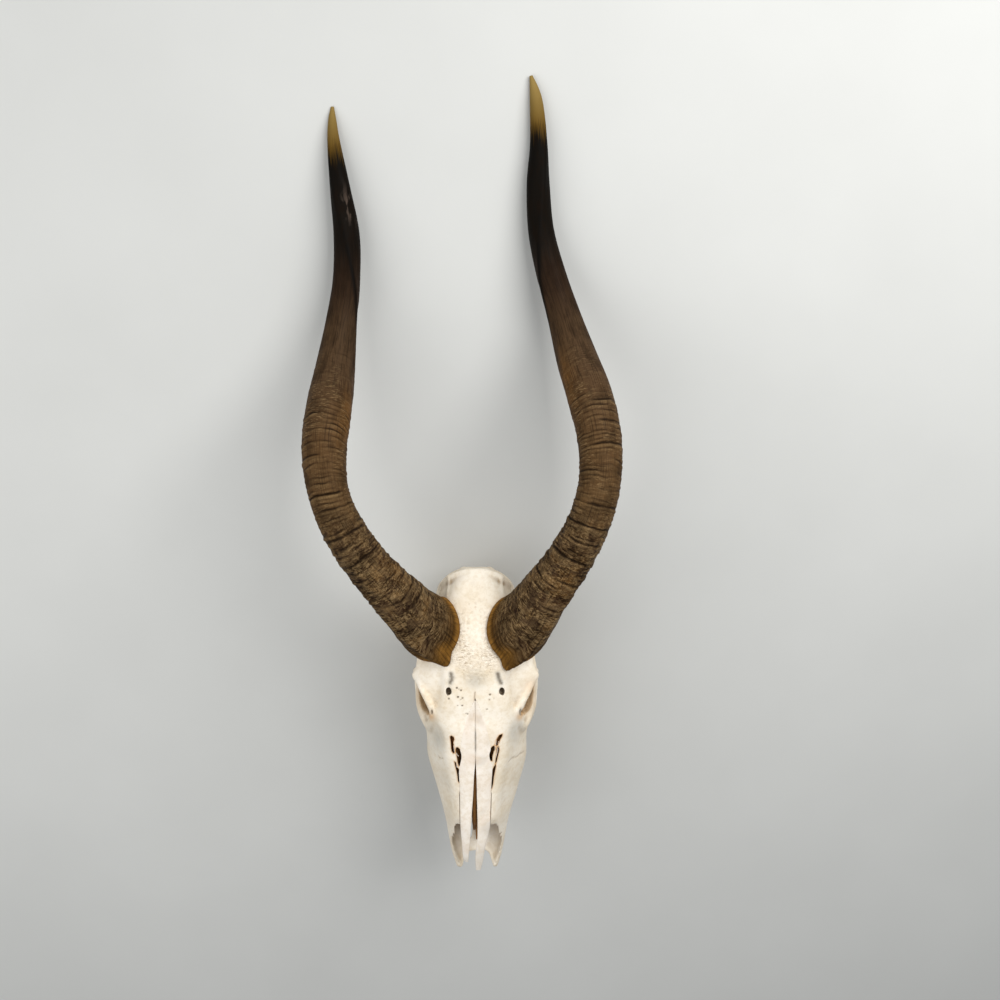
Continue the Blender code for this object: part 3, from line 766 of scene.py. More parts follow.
def pitMarks(x, y, z):
    total = np.zeros(len(x))
    for cx, cy, radius, depth in relief["pits"]:
        reach = radius * relief["pitReach"]
        total += depth * mound(x, y, cx, cy, reach, reach) * (z > 85)
    return total


def grooveAway(spots, line):
    # the distance from a groove, with a wandering edge
    return lineDistance(spots[:, 0], spots[:, 1], line) + 0.5 * grit(spots, 1.6, 12.0)


def shapeBone(obj):
    spots = readPoints(obj)
    normals = readPoints(obj, "normal")
    x, y, z = spots.T
    up = np.clip((normals[:, 2] - 0.15) / 0.5, 0.0, 1.0)
    top = z > 85
    outside = 1.0 - insideNose(x, y, z)
    lift = 0.18 * grit(spots, 16.0, 3.0) + 0.10 * grit(spots, 4.5, 9.0) * outside
    for *oval, depth in relief["dents"]:
        lift -= depth * mound(x, y, *oval) * up * outside
    lift -= pitMarks(x, y, z)
    middle, reach, height = relief["cheekBulge"]
    lift += height * bell(y - middle, reach) * ease(24, 32, x) * (1 - ease(66, 82, z)) * outside
    for line in relief["grooves"]:
        lift -= relief["grooveDepth"] * bell(grooveAway(spots, line), 2.3) * top
    for oval in relief["tearHoles"]:
        lift -= relief["tearDepth"] * mound(x, y, *oval) * (z > 80)
    for line in relief["temporalLines"]:
        lift += relief["ridgeHeight"] * bell(lineDistance(x, y, line), 1.6) * top
    lift -= 0.6 * temporalHollow(x, y, z)
    wander = 0.5 * grit(spots * (1, 1, 0), 3.0, 5.0)
    for line in relief["cracks"]:
        lift -= relief["crackDepth"] * bell(lineDistance(x + wander, y + wander, line), 0.7) * (z > 55)
    wander = 0.6 * grit(spots * (0, 1, 0), 2.6, 1.0)
    lift -= relief["sutureDepth"] * bell(lineDistance(x + wander, y, relief["middleSuture"]), 0.7) * top
    lift += roughFrontal(x, y, z) * (0.35 * grit(spots, 2.6, 4.0) + 0.18 * grit(spots, 1.3, 8.0))
    cx, cy, distance, band, depth = relief["hornFurrows"]
    for side in (1, -1):
        ring = bell(np.hypot(x - side * cx, y - cy) - distance, band) * (z > 95)
        around = np.arctan2(y - cy, side * (cx - side * x)) * 9.0
        wave = np.sin(around * 2.2 + 1.5 * grit(spots, 5.0, side * 6.0))
        lift -= depth * ring * np.clip(wave, 0, 1) ** 3
    writePoints(obj, spots + normals * lift[:, None])


def orbitWalls(x, y, z):
    # tan with painted shade inside both orbits, and on the cheek arch below the eye
    wall = np.zeros(len(x))
    reaches = (((1.0, 1.0, 1.0), 0.9, 1.05), ((1.4, 1.5, 1.2), 0.95, 1.1))
    for side in (1, -1):
        for ((cx, cy, cz), radii), (spare, full, none) in zip(skull["hollows"], reaches):
            rx, ry, rz = np.add(radii, spare)
            away = ((x - side * cx) / rx) ** 2 + ((y - cy) / ry) ** 2 + ((z - cz) / rz) ** 2
            wall = np.maximum(wall, 0.85 * (1 - ease(full, none, away)) * (1 - ease(56.6, 58.6, np.abs(x))))
    arch = 0.5 * bell(y - 184, 20) * ease(45, 50, np.abs(x)) * (1 - ease(57.2, 58.8, np.abs(x)))
    return np.maximum(wall, arch * (1 - ease(80, 90, z)))


def paintBone(obj):
    spots = readPoints(obj)
    normals = readPoints(obj, "normal")
    x, y, z = spots.T
    up = np.clip((normals[:, 2] - 0.15) / 0.5, 0.0, 1.0)
    top = z > 85
    inside = insideNose(x, y, z) * ease(26, 60, y)
    paint(obj, "inside", inside * (0.35 + 0.65 * ease(30, 75, y)))
    hairs = sum(mound(x, y, *middle, *relief["furrowReach"]) for middle in relief["furrowFields"])
    paint(obj, "hairs", hairs * (z > 95))
    # painted shade: tan in the orbits, on the cheek arch and faintly in the temporal hollows
    paint(obj, "orbitTan", np.maximum(orbitWalls(x, y, z), 0.10 * temporalHollow(x, y, z)))

    # painted shade: grey in the first dents, along the grooves from the brow holes and on the snout's sloping sides
    grey = np.zeros(len(x))
    for *oval, depth in relief["dents"][:relief["shadedDents"]]:
        grey += 0.5 * mound(x, y, *oval) * up
    for line in relief["grooves"]:
        grey += 0.6 * bell(grooveAway(spots, line), 2.9) * top
    # painted shade on the sloping sides of the snout, the animal's right one darker, as the light falls from the
    # other side
    slope = ease(20, 27, np.abs(x)) * (1 - ease(158, 172, y)) * (1 - ease(0.55, 0.9, normals[:, 2]))
    grey += slope * np.where(x < 0, 0.26, 0.14) * (0.8 + 0.5 * grit(spots, 20.0, 31.0))
    paint(obj, "greyDirt", grey)

    # ochre at the front and top of the orbits, in the suture, round the breaks and in faint clouds
    suture = lineDistance(x, y, relief["middleSuture"])
    stain = 0.7 * np.exp(-((np.abs(x) - 42) ** 2 + (y - 166) ** 2) / 18.0) * (z > 70)
    stain += 0.35 * np.exp(-((x - 52) ** 2 + (y - 196) ** 2) / 60.0) * top
    stain += 0.3 * bell(suture, 1.1) * top
    for outline in skull["fissures"]:
        stain += 0.75 * bell(lineDistance(x, y, outline + outline[:1]), 0.8) * (z > 75)
    stain += 0.10 * ease(0.15, 0.7, grit(spots, 22.0, 14.0))
    paint(obj, "ochreStain", stain)

    # painted shade: pits, the tear holes, the holes above the brow and the grooves from them are painted dark; the
    # cracks and the back of the middle suture get dark lines
    pit = 1.2 * pitMarks(x, y, z)
    for line in relief["cracks"]:
        pit += 0.2 * bell(lineDistance(x, y, line), 0.5) * (z > 55)
    for line in relief["grooves"]:
        smudge = lineDistance(x, y, line) + 1.2 * grit(spots, 1.8, 31.0)
        pit += 0.62 * bell(smudge, 1.8) * top
    pit += 0.5 * bell(suture, 0.55) * (y > 184) * top
    for cx, cy, rx, ry in relief["tearHoles"]:
        pit += 0.6 * (1 - ease(0.7, 1.1, np.hypot((x - cx) / rx, (y - cy) / ry))) * (z > 80)
    cx, cy, rx, ry = relief["browHole"]
    for side in (1, -1):
        hole = np.hypot((x - side * cx) / rx, (y - cy) / ry)
        pit += (0.55 + 0.4 * ease(0.6, 0.95, hole)) * (1 - ease(1.0, 1.12, hole)) * (z > 90) * (z < 111.5)
    paint(obj, "pit", pit)
    paintHollowShade(obj)
    paint(obj, "rough", roughFrontal(x, y, z))


def paintHollowShade(obj):
    # painted shade: hollow places are darkened a little
    deep = hollowness(obj, readPoints(obj), readPoints(obj, "normal"))
    paint(obj, "groove", np.clip(deep * 9.0, 0.0, 0.8))


def refineTop(obj):
    # finer faces where the camera looks
    bm = bmesh.new()
    bm.from_mesh(obj.data)
    chosen = set()
    for face in bm.faces:
        x, y, z = face.calc_center_median()
        if face.normal.z > 0.3 and z > 88 and 95 < y < 290 and abs(x) < 48:
            chosen.update(face.edges)
    bmesh.ops.subdivide_edges(bm, edges=list(chosen), cuts=1, use_grid_fill=True)
    bm.to_mesh(obj.data)
    bm.free()


# nasal bones: y, inner x, outer x, z of the crown; the right one splays, the left one is longer
nasals = {
    "thickness": 2.6,
    "bedFrom": 48,
    "flushFrom": 92,
    "gapAhead": 0.5,
    "gapBehind": 0.03,
    "right": (
        (17, -7.8, -11.2, 55), (23, -7.4, -13.0, 58.5), (42, -5.8, -14.2, 66.5), (60, -4.6, -15.2, 74.5),
        (84, -3.0, -15.4, 82), (103, -1.9, -15.7, 88.5), (113, -1.3, -15.8, 91.5), (119, -0.6, -15.0, 93.3),
        (126, -0.2, -13.5, 95.3), (131, -0.06, -13.4, 96.8), (137, -0.03, -14.4, 98.3), (150, -0.03, -12.0, 102),
        (170, -0.03, -6.6, 107), (184, -0.03, -1.0, 110.5),
    ),
    "left": (
        (8, -0.6, 4.2, 51), (20, -1.0, 6.8, 57), (33, -0.2, 8.6, 63), (45, 1.2, 11.2, 68),
        (58, 1.4, 13.4, 74), (84, 1.1, 14.4, 82), (100, 0.9, 14.9, 87.5), (112, 0.6, 15.6, 91.2),
        (119, 0.3, 15.8, 93.3), (126, 0.1, 13.4, 95.3), (131, 0.06, 13.0, 96.8), (137, 0.03, 14.2, 98.3),
        (150, 0.03, 12.0, 102), (170, 0.03, 6.6, 107), (184, 0.03, 1.0, 110.5),
    ),
}


def seatOutline(word):
    # the bed of one nasal bone from above, a hair wider than the bone where the two lie flush
    line = []
    for y, inner, outer, crown in smoothRows(nasals[word], 80):
        if y > nasals["bedFrom"]:
            gap = nasals["gapAhead"] if y < nasals["flushFrom"] else nasals["gapBehind"]
            line.append((outer + math.copysign(gap, outer), y))
    return line


seat = duplicate(cranium, "hornSeat")
writePoints(seat, readPoints(seat) + readPoints(seat, "normal") * 0.5)
refineTop(cranium)
shapeBone(cranium)
faceTree = BVHTree.FromObject(cranium, bpy.context.evaluated_depsgraph_get())
bed = seatOutline("right") + [(0.0, 186.0)] + seatOutline("left")[::-1]
cutBy(cranium, prism("nasalBed", bed, 60, 140))
for outline in skull["fissures"]:
    cutBy(cranium, prism("fissure", outline, 70, 140))


def noseBlock(side, spare):
    # the front of the snout, forward of a slanting suture
    inner, outer = (side * 0.15, side * 60.0) if side else (-60.0, 60.0)
    bottom = [(inner, -20, -5), (outer, -20, -5), (outer, 40 + spare, -5), (inner, 40 + spare, -5)]
    return [bottom, [(x, 62 + spare if y > 0 else y, 72) for x, y, z in bottom]]


noses = []
for name, side in (("premaxilla_left", 1), ("premaxilla_right", -1)):
    nose = duplicate(cranium, name + "_bone")
    cutBy(nose, loft("front", noseBlock(side, 0.0)), "INTERSECT")
    largestBody(nose)
    noses.append((nose, name))
cutBy(cranium, loft("suture", noseBlock(0, 0.04)))
largestBody(cranium)
skullTree = BVHTree.FromObject(cranium, bpy.context.evaluated_depsgraph_get())
print("skull carved:", len(cranium.data.polygons), "faces")


def nasalBone(name, stations):
    # a thin arched blade, ragged at its free end, that merges into the brow behind
    rings = []
    thick = nasals["thickness"]
    side = 1 if stations[0][2] > stations[0][1] else -1
    for k, (y, inner, outer, crown) in enumerate(smoothRows(stations, 130)):
        ragged = max(0.0, 1.0 - k / 16)
        outer += side * ragged * 0.9 * noise.noise(Vector((y / 2.2, side * 3.0, 0)))
        inner += side * ragged * 0.5 * noise.noise(Vector((y / 1.6, side * 7.0, 4)))
        inner += 0.7 * noise.noise(Vector((y / 5.0, 3.0, 0))) * min(1.0, max(0.0, (y - 110) / 20))
        breadth = abs(outer - inner)
        merge = ease(nasals["flushFrom"], 112, y)
        above, below = [], []
        for n in range(17):
            f = n / 16
            seam = -0.7 * (1 - min(1.0, f / 0.14)) ** 2
            fall = 1.2 * 0.16 * breadth * max(0.0, (f - 0.25) / 0.75) ** 2
            edge = 0.5 * max(0.0, (f - 0.9) / 0.1) ** 2
            x = inner + side * f * breadth
            z = crown + seam - fall - edge
            if merge > 0:
                hit = faceTree.ray_cast(Vector((x, y, 150)), Vector((0, 0, -1)))[0]
                if hit:
                    suture = 0.4 * (1 - min(1.0, f / 0.06)) ** 2
                    z += (hit.z + 0.02 - suture - z) * merge
            belly = math.sin(math.pi * (n + 0.4) / 16.8) ** 0.5
            above.append((x, y, z))
            below.append((x, y, z - thick * (0.35 + 0.65 * belly)))
        rings.append(above + below[::-1])
    return loft(name, rings)


for word in ("right", "left"):
    blade = nasalBone(f"nasal_{word}", nasals[word])
    spots = readPoints(blade)
    y = spots[:, 1]
    tip = y.min()
    lift = 0.14 * grit(spots * (1, 0.35, 1), 5.0, 2.0) * (1 - ease(85, 105, y)) - 0.25 * (1 - ease(tip, tip + 5, y))
    writePoints(blade, spots + readPoints(blade, "normal") * lift[:, None])
    spots = readPoints(blade)
    x, y, z = spots.T
    under = 1 - ease(-0.2, 0.35, readPoints(blade, "normal")[:, 2])
    paint(blade, "inside", under * ease(30, 70, y))
    paint(blade, "greyDirt", 0.25 * ease(0.1, 0.6, grit(spots, 14.0, 21.0)) + 0.3 * (1 - ease(20, 46, y)))
    paint(blade, "ochreStain", 0.25 * ease(0.1, 0.7, grit(spots, 18.0, 5.0)))
    seam = bell(x, 0.8) * ease(112, 125, y) * (0.25 + 0.5 * ease(-0.1, 0.4, grit(spots * (0, 1, 0), 9.0, 2.0)))
    paint(blade, "pit", seam * (1 - under))
    paintHollowShade(blade)
    finishPiece(blade, bleachedNasalBone, "nasal_bone", f"nasal_bone_{word}")

for obj, node in noses + [(cranium, "cranium")]:
    paintBone(obj)
print("nasal bones ready")


# thin splinters of the ethmoid that show in the gaps beside the nasal bones: x, y, z, radius
splinters = {
    "left": (
        ((19.4, 150, 96, 0.5), (18.8, 141, 94, 0.7), (18.0, 131, 92, 0.7), (17.2, 122, 90, 0.5)),
        ((21.8, 143, 95, 0.5), (20.6, 134, 92, 0.6), (18.6, 126, 90, 0.5)),
        ((17.0, 142, 93, 0.4), (19.0, 138, 93, 0.6), (21.5, 137, 93, 0.5)),
    ),
    "right": (
        ((-20.6, 139, 94, 0.6), (-19.4, 133, 93, 0.8), (-18.6, 126, 91, 0.8), (-17.4, 117, 89, 0.5)),
        ((-20.2, 134, 92, 0.5), (-18.0, 130, 91, 0.6), (-16.0, 128, 91, 0.4)),
    ),
}
for word, strips in splinters.items():
    shards = joined(f"ethmoid_shards_{word}", [bar("shard", points, 5, 2) for points in strips])
    spots = readPoints(shards)
    writePoints(shards, spots + 0.15 * np.stack([grit(spots, 1.5, k) for k in (1, 2, 3)], axis=1))
    finishPiece(shards, bleachedNasalBone, "bone")

# the vomer, the septum's dried edge and the scrolled turbinates: thin plates deep in the nose,
# brown with dried tissue: x, y, z, radius
turbinates = {
    "scrolls": (
        ((9, 58, 40, 4.5), (10, 80, 46, 6.5), (12, 105, 54, 8), (13, 135, 62, 9), (12, 158, 70, 6)),
        ((8, 90, 68, 3.5), (10, 112, 74, 4.5), (12, 136, 80, 5), (11, 160, 88, 3)),
        (
            (17, 92, 73, 2.5), (17.5, 108, 77, 3.4), (17.5, 122, 81, 4.0), (18.5, 134, 84.5, 4.2),
            (21, 146, 88, 3.6), (23, 153, 88, 2.5),
        ),
    ),
    "septum": (
        (-1.8, 49, 55, 0.7), (-1.6, 60, 65.5, 2.4), (-1.0, 84, 74.5, 3.2), (-0.6, 103, 81, 3.0),
        (-0.2, 119, 86, 2.8), (0, 140, 91, 2.0),
    ),
    "vomer": ((0, 30, 20, 1.2), (0, 60, 27, 1.6), (0, 100, 33, 1.8), (0, 150, 38, 1.8)),
}
scrolls = [bar("vomer", turbinates["vomer"]), bar("septum", turbinates["septum"])]
for side in (1, -1):
    for points in turbinates["scrolls"]:
        scrolls.append(bar("scroll", points if side > 0 else mirrored(points)))
scrollBones = joined("turbinate_bones", scrolls)
spots = readPoints(scrollBones)
flutes = 0.7 * np.stack([grit(spots * (1, 0.2, 1), 3.5, k) for k in (1, 2, 3)], axis=1)
writePoints(scrollBones, spots + flutes)
paint(scrollBones, "inside", np.ones(len(spots)))
paint(scrollBones, "pit", 0.42 * ease(-0.1, 0.4, grit(spots, 2.6, 9.0)) * (np.abs(spots[:, 0]) > 6))
finishPiece(scrollBones, bleachedBone, "bone")
print("inside of the nose ready")


# horn keratin over the bony cores: brown sheaths grown in rings, rough and fibrous at the
# base, rubbed smooth and black above, ivory where the tips are worn through to clear keratin
hornLook = {
    # place along the horn in mm, colour
    "zones": (
        (40, "#3C2813"), (110, "#4E3820"), (170, "#574026"), (235, "#533C24"), (300, "#4A3725"),
        (350, "#443322"), (392, "#2B1D12"), (436, "#110C07"), (560, "#080705"),
    ),
    "ivory": "#88713F",
    "honey": "#5C4418",
    "amber": "#8C6229",
    "ochre": "#7E5422",
    "crest": "#836B49",
    "strand": "#957B56",
    "patch": "#2A1712",
    "furrow": "#170D05",
    "crease": "#0A0806",
    "chip": "#584A40",
    "roughness": 0.52,
    "bumpMetres": 0.0011,
    "radius": 18.0,  # the horn's usual radius in mm
    "zoneDrift": 46.0,  # how far fibres draw out the borders of the zones, in mm
    # noise: size round the horn and along it in mm, detail, distortion, roughness
    "noises": {
        "streaks": (2.0, 28.57, 5.0, 0.0, 0.6),
        "fibres": (0.75, 22.22, 4.0, 0.0, 0.6),
        "hoops": (12.0, 1.818, 3.0, 0.5, 0.6),
        "finer": (5.294, 0.7692, 3.0, 0.6, 0.6),
        "bark": (5.294, 1.613, 5.0, 1.5, 0.7),
        "clouds": (12.0, 20.0, 4.0, 0.0, 0.6),
        "patches": (10.588, 10.0, 3.0, 0.8, 0.6),
    },
    # from below: noise and its stops, painted mask, strength, colour
    "layers": (
        (None, None, "ochreTint", 0.55, "ochre"),
        # the fibrous base: pale strands over dark gaps
        ("bark", ((0.49, 0.0), (0.55, 1.0)), "barkTint", 0.85, "strand"),
        ("bark", ((0.42, 1.0), (0.48, 0.0)), "barkTint", 0.92, "furrow"),
        ("patches", ((0.40, 0.9), (0.50, 0.0)), "barkTint", 0.75, "patch"),
        # hoops round the horn above it
        ("hoops", ((0.47, 0.0), (0.50, 1.0), (0.53, 0.0)), "lineTint", 0.55, "furrow"),
        ("finer", ((0.46, 0.0), (0.50, 1.0), (0.54, 0.0)), "lineTint", 0.4, "furrow"),
        ("finer", ((0.54, 0.0), (0.62, 1.0)), "lineTint", 0.45, "strand"),
        # painted light and shade that follow the relief: raised parts lighter, low parts and hollows darker
        (None, None, "crestTint", 0.75, "crest"),
        (None, None, "furrowTint", 0.9, "furrow"),
        (None, None, "creaseTint", 0.95, "crease"),
        (None, None, "rimTint", 0.92, "amber"),
        # lengthwise fibres where the surface is rubbed smooth, and cloudy shades
        ("fibres", ((0.36, 0.6), (0.5, 0.0)), "rubbed", 1.0, "crease"),
        ("clouds", ((0.36, 0.45), (0.52, 0.0)), None, 1.0, "furrow"),
        ("clouds", ((0.50, 0.0), (0.56, 1.0)), "chipTint", 0.9, "chip"),
    ),
}
hornShape = {
    "sides": 84,
    # share of the length, then half the width of the keel's edge in radians
    "keelWidth": ((0.0, 0.21), (0.07, 0.23), (0.16, 0.38), (0.3, 0.42), (0.7, 0.34), (1.0, 0.3)),
    # share of the length, then turn from the upper side outward
    "keelCourse": (
        (0.0, 0), (0.05, 6), (0.08, 34), (0.16, 62), (0.24, 95), (0.42, 180), (0.63, 270), (0.79, 360), (1.0, 455),
    ),
    # the keel as a share of the radius
    "keelHeight": (
        (0.0, 0.22), (0.045, 0.33), (0.075, 0.20), (0.12, 0.13), (0.3, 0.10), (0.75, 0.16), (1.0, 0.05),
    ),
    # from, to, spacing, height and the arch toward the tip, all in mm along the horn
    "ringZones": (
        (76, 140, 10.5, 0.75, 1.0), (130, 216, 3.6, 0.42, 2.5), (138, 216, 16.0, 0.55, 2.0),
        (208, 278, 3.9, 0.48, 5.0), (276, 330, 12.0, 0.16, 4.0),
    ),
    # rows of faces: up to this place along the horn, this far apart
    "rows": ((22, 2.0), (285, 0.75), (1000, 1.35)),
    # height of the braided base's lumps, strands and knots, of the arcs and of the collar and its groove
    "bark": (1.0, 0.6, 0.35),
    "arcs": 0.62,
    "arcSpacing": 3.6,
    "collar": (1.5, 0.9),
    "right": {
        "seed": 11,
        "keelStart": 9,  # degrees that the keel is turned outward at the skull
        "chipsAt": (468, 13, 0.8),  # place, reach, strength
        # x, y, z and breadth from above
        "stations": (
            (-33, 241, 84, 46), (-40.6, 250.6, 108, 59), (-54.5, 265.5, 130, 51), (-67, 281, 146.7, 45.5),
            (-90, 308, 165, 40.5), (-110.3, 338.4, 180.6, 37.7), (-125.5, 374.8, 185.4, 35.4),
            (-130.7, 413.7, 179, 39), (-128.4, 451.5, 166, 40.2), (-124.6, 489, 152.5, 35),
            (-120.1, 528, 145.7, 28.8), (-115.1, 567.4, 148, 24.6), (-114.1, 607, 154.3, 23.3),
            (-118.6, 645.5, 163.2, 18.2), (-123.1, 684, 171.8, 11.4), (-124.2, 703, 174.3, 7.4),
            (-123.9, 715, 175.9, 2.8),
        ),
        # place, height, middle of its span in degrees from the upper side outward, half the span
        "marks": ((142, 1.1, -30, 70), (165, 0.9, 0, 80), (231, 0.9, 50, 45), (267, 0.5, 50, 28), (200, 0.5, 20, 60)),
        "ivoryFrom": 512,
        # place, turn in degrees, reach along, half the span
        "ochreSpots": ((270, -70, 26, 40), (120, -60, 18, 30)),
        # where the black line on the keel fades out and begins
        "creaseLine": (440, 374),
    },
    "left": {
        "seed": 23,
        "keelStart": 19,
        "chipsAt": (470, 10, 0.0),
        "stations": (
            (30, 240, 84, 46), (36.9, 249.2, 108, 58.5), (50, 266, 130, 52), (61.2, 284, 145.9, 45.8),
            (82, 314, 163.6, 41), (99.1, 346.7, 179, 38), (109.4, 384.5, 185.7, 36.5),
            (109.7, 424, 181.4, 38.4), (102.2, 461.6, 170, 40), (91.4, 497.7, 156.4, 36.3),
            (80.8, 535, 147, 30.2), (69.2, 573, 147, 26.5), (59.8, 611.3, 153, 23.2),
            (56.9, 650, 162.7, 20.5), (57, 684, 172.8, 15.4), (54.4, 719, 181.7, 11), (49.9, 738.5, 186.8, 2.8),
        ),
        "marks": ((135, 1.2, -10, 70), (167, 1.0, 0, 80), (234, 0.9, 40, 60), (252, 0.7, 45, 45), (270, 0.7, 50, 40)),
        "ivoryFrom": 528,
        "ochreSpots": ((118, 30, 22, 40), (300, -60, 30, 30)),
        "creaseLine": (458, 360),
    },
}


def hornAxis(stations, keelStart):
    # the centre line every millimetre or so, with its length, directions, breadth and keel
    fine = np.array(smoothRows(stations, 1201))
    steps = np.linalg.norm(np.diff(fine[:, :3], axis=0), axis=1)
    length = np.concatenate([[0.0], np.cumsum(steps)])
    even = np.linspace(0.0, length[-1], 601)
    line = np.stack([np.interp(even, length, fine[:, k]) for k in range(4)], axis=1)
    axis = np.gradient(line[:, :3], axis=0)
    for _ in range(6):  # evens out small kinks of direction
        axis[1:-1] = (axis[:-2] + 2 * axis[1:-1] + axis[2:]) / 4
    axis /= np.linalg.norm(axis, axis=1)[:, None]
    side = 1 if stations[0][0] > 0 else -1
    outward = np.cross((0, 0, 1), axis)
    outward /= np.linalg.norm(outward, axis=1)[:, None]
    outward *= np.where(outward[:, 0] * side < 0, -1, 1)[:, None]
    upward = np.cross(axis, outward)
    upward *= np.where(upward[:, 2] < 0, -1, 1)[:, None]
    share = even / even[-1]
    keel, height, width = (
        np.interp(share, *zip(*hornShape[key])) for key in ("keelCourse", "keelHeight", "keelWidth")
    )
    keel = keel + keelStart * (1 - ease(0.06, 0.12, share))
    keel, height = (np.convolve(np.pad(row, 15, "edge"), np.ones(31) / 31, "valid") for row in (keel, height))
    return {
        "at": even, "line": line, "axis": axis, "outward": outward, "upward": upward,
        "keel": np.radians(keel), "height": height, "width": width,
    }


def hornRing(course, place, sides):
    # the outline at this place: a circle with a keel, as broad from above as the table says
    pick = {
        key: np.array([np.interp(place, course["at"], column) for column in np.atleast_2d(course[key].T)])
        for key in course
    }
    turn = pick["keel"][0] + np.arange(sides) * math.tau / sides
    off = np.minimum(np.arange(sides), sides - np.arange(sides)) * math.tau / sides
    radius = 1.0 + pick["height"][0] * bell(off, pick["width"][0])
    u, v = radius * np.sin(turn), radius * np.cos(turn)
    scale = pick["line"][3] / (u.max() - u.min())
    shift = (u.max() + u.min()) / 2
    centre = pick["line"][:3] - pick["outward"] * shift * scale
    ring = centre + np.outer(u * scale, pick["outward"]) + np.outer(v * scale, pick["upward"])
    return ring, centre, scale


def turnBetween(turn, other):
    # the angle between two turns, 0 to pi
    return np.abs((turn - other + math.pi) % math.tau - math.pi)


def hornPlaces(spots, course):
    # each point's place along the horn, turn from the upper side, angle from the keel, direction
    # from the middle, and how truly it lies on the sheath's skin
    own = np.array([[*centre, scale] for ring, centre, scale in (hornRing(course, s, 48) for s in course["at"])])
    tree = KDTree(len(own))
    for k, spot in enumerate(own):
        tree.insert(spot[:3], k)
    tree.balance()
    near = np.array([tree.find(p)[1] for p in spots])
    away = spots - own[near, :3]
    ahead = (away * course["axis"][near]).sum(axis=1)
    radial = away - course["axis"][near] * ahead[:, None]
    radius = np.linalg.norm(radial, axis=1)
    radial /= np.maximum(radius, 0.01)[:, None]
    turn = np.arctan2(*((radial * course[key][near]).sum(axis=1) for key in ("outward", "upward")))
    fromKeel = turnBetween(turn, course["keel"][near])
    expected = own[near, 3] * (1.0 + course["height"][near] * bell(fromKeel, course["width"][near]))
    return course["at"][near] + ahead, turn, fromKeel, radial, ease(0.90, 0.97, radius / expected)


def growthRings(s, turn, sway, shape, rnd):
    # the height of all rings, and how strongly the painted shade under each one's lower edge is drawn
    lift, drawn = np.zeros(len(s)), np.zeros(len(s))
    for start, end, spacing, tall, arch in hornShape["ringZones"]:
        place = start + rnd.uniform(0, spacing)
        flow = s - arch * np.cos(turn) + sway
        width = min(1.6, spacing * 0.30)
        while place < end:
            phase, second = rnd.uniform(0, 6.3), rnd.uniform(0, 6.3)
            gate = 0.6 + 0.5 * np.sin(turn * 2 + phase) + 0.35 * np.sin(turn * 5 + second)
            d = (flow - place) / width
            fade = ease(start - 4, start + 8, place) * (1 - ease(end - 6, end + 6, place) * 0.6)
            size = tall * rnd.uniform(0.6, 1.25) * np.clip(gate, 0.05, 1.2) * fade
            lift += size * (bell(d + 0.5, 1.0) - 0.75 * bell(d - 0.9, 0.55))
            drawn += size * bell(d - 0.9, 0.5)
            place += spacing * rnd.uniform(0.7, 1.35)
    for place, tall, middle, span in shape["marks"]:
        gate = 1 - ease(span * 0.7, span * 1.2, np.degrees(turnBetween(turn, math.radians(middle))))
        d = (s - 2.5 * np.cos(turn) + sway * 0.7 - place) / 1.5
        lift += 0.8 * tall * gate * (0.7 * bell(d + 1.0, 1.3) - bell(d - 0.5, 0.6))
        drawn += tall * gate * bell(d - 0.5, 0.5)
    return lift, drawn


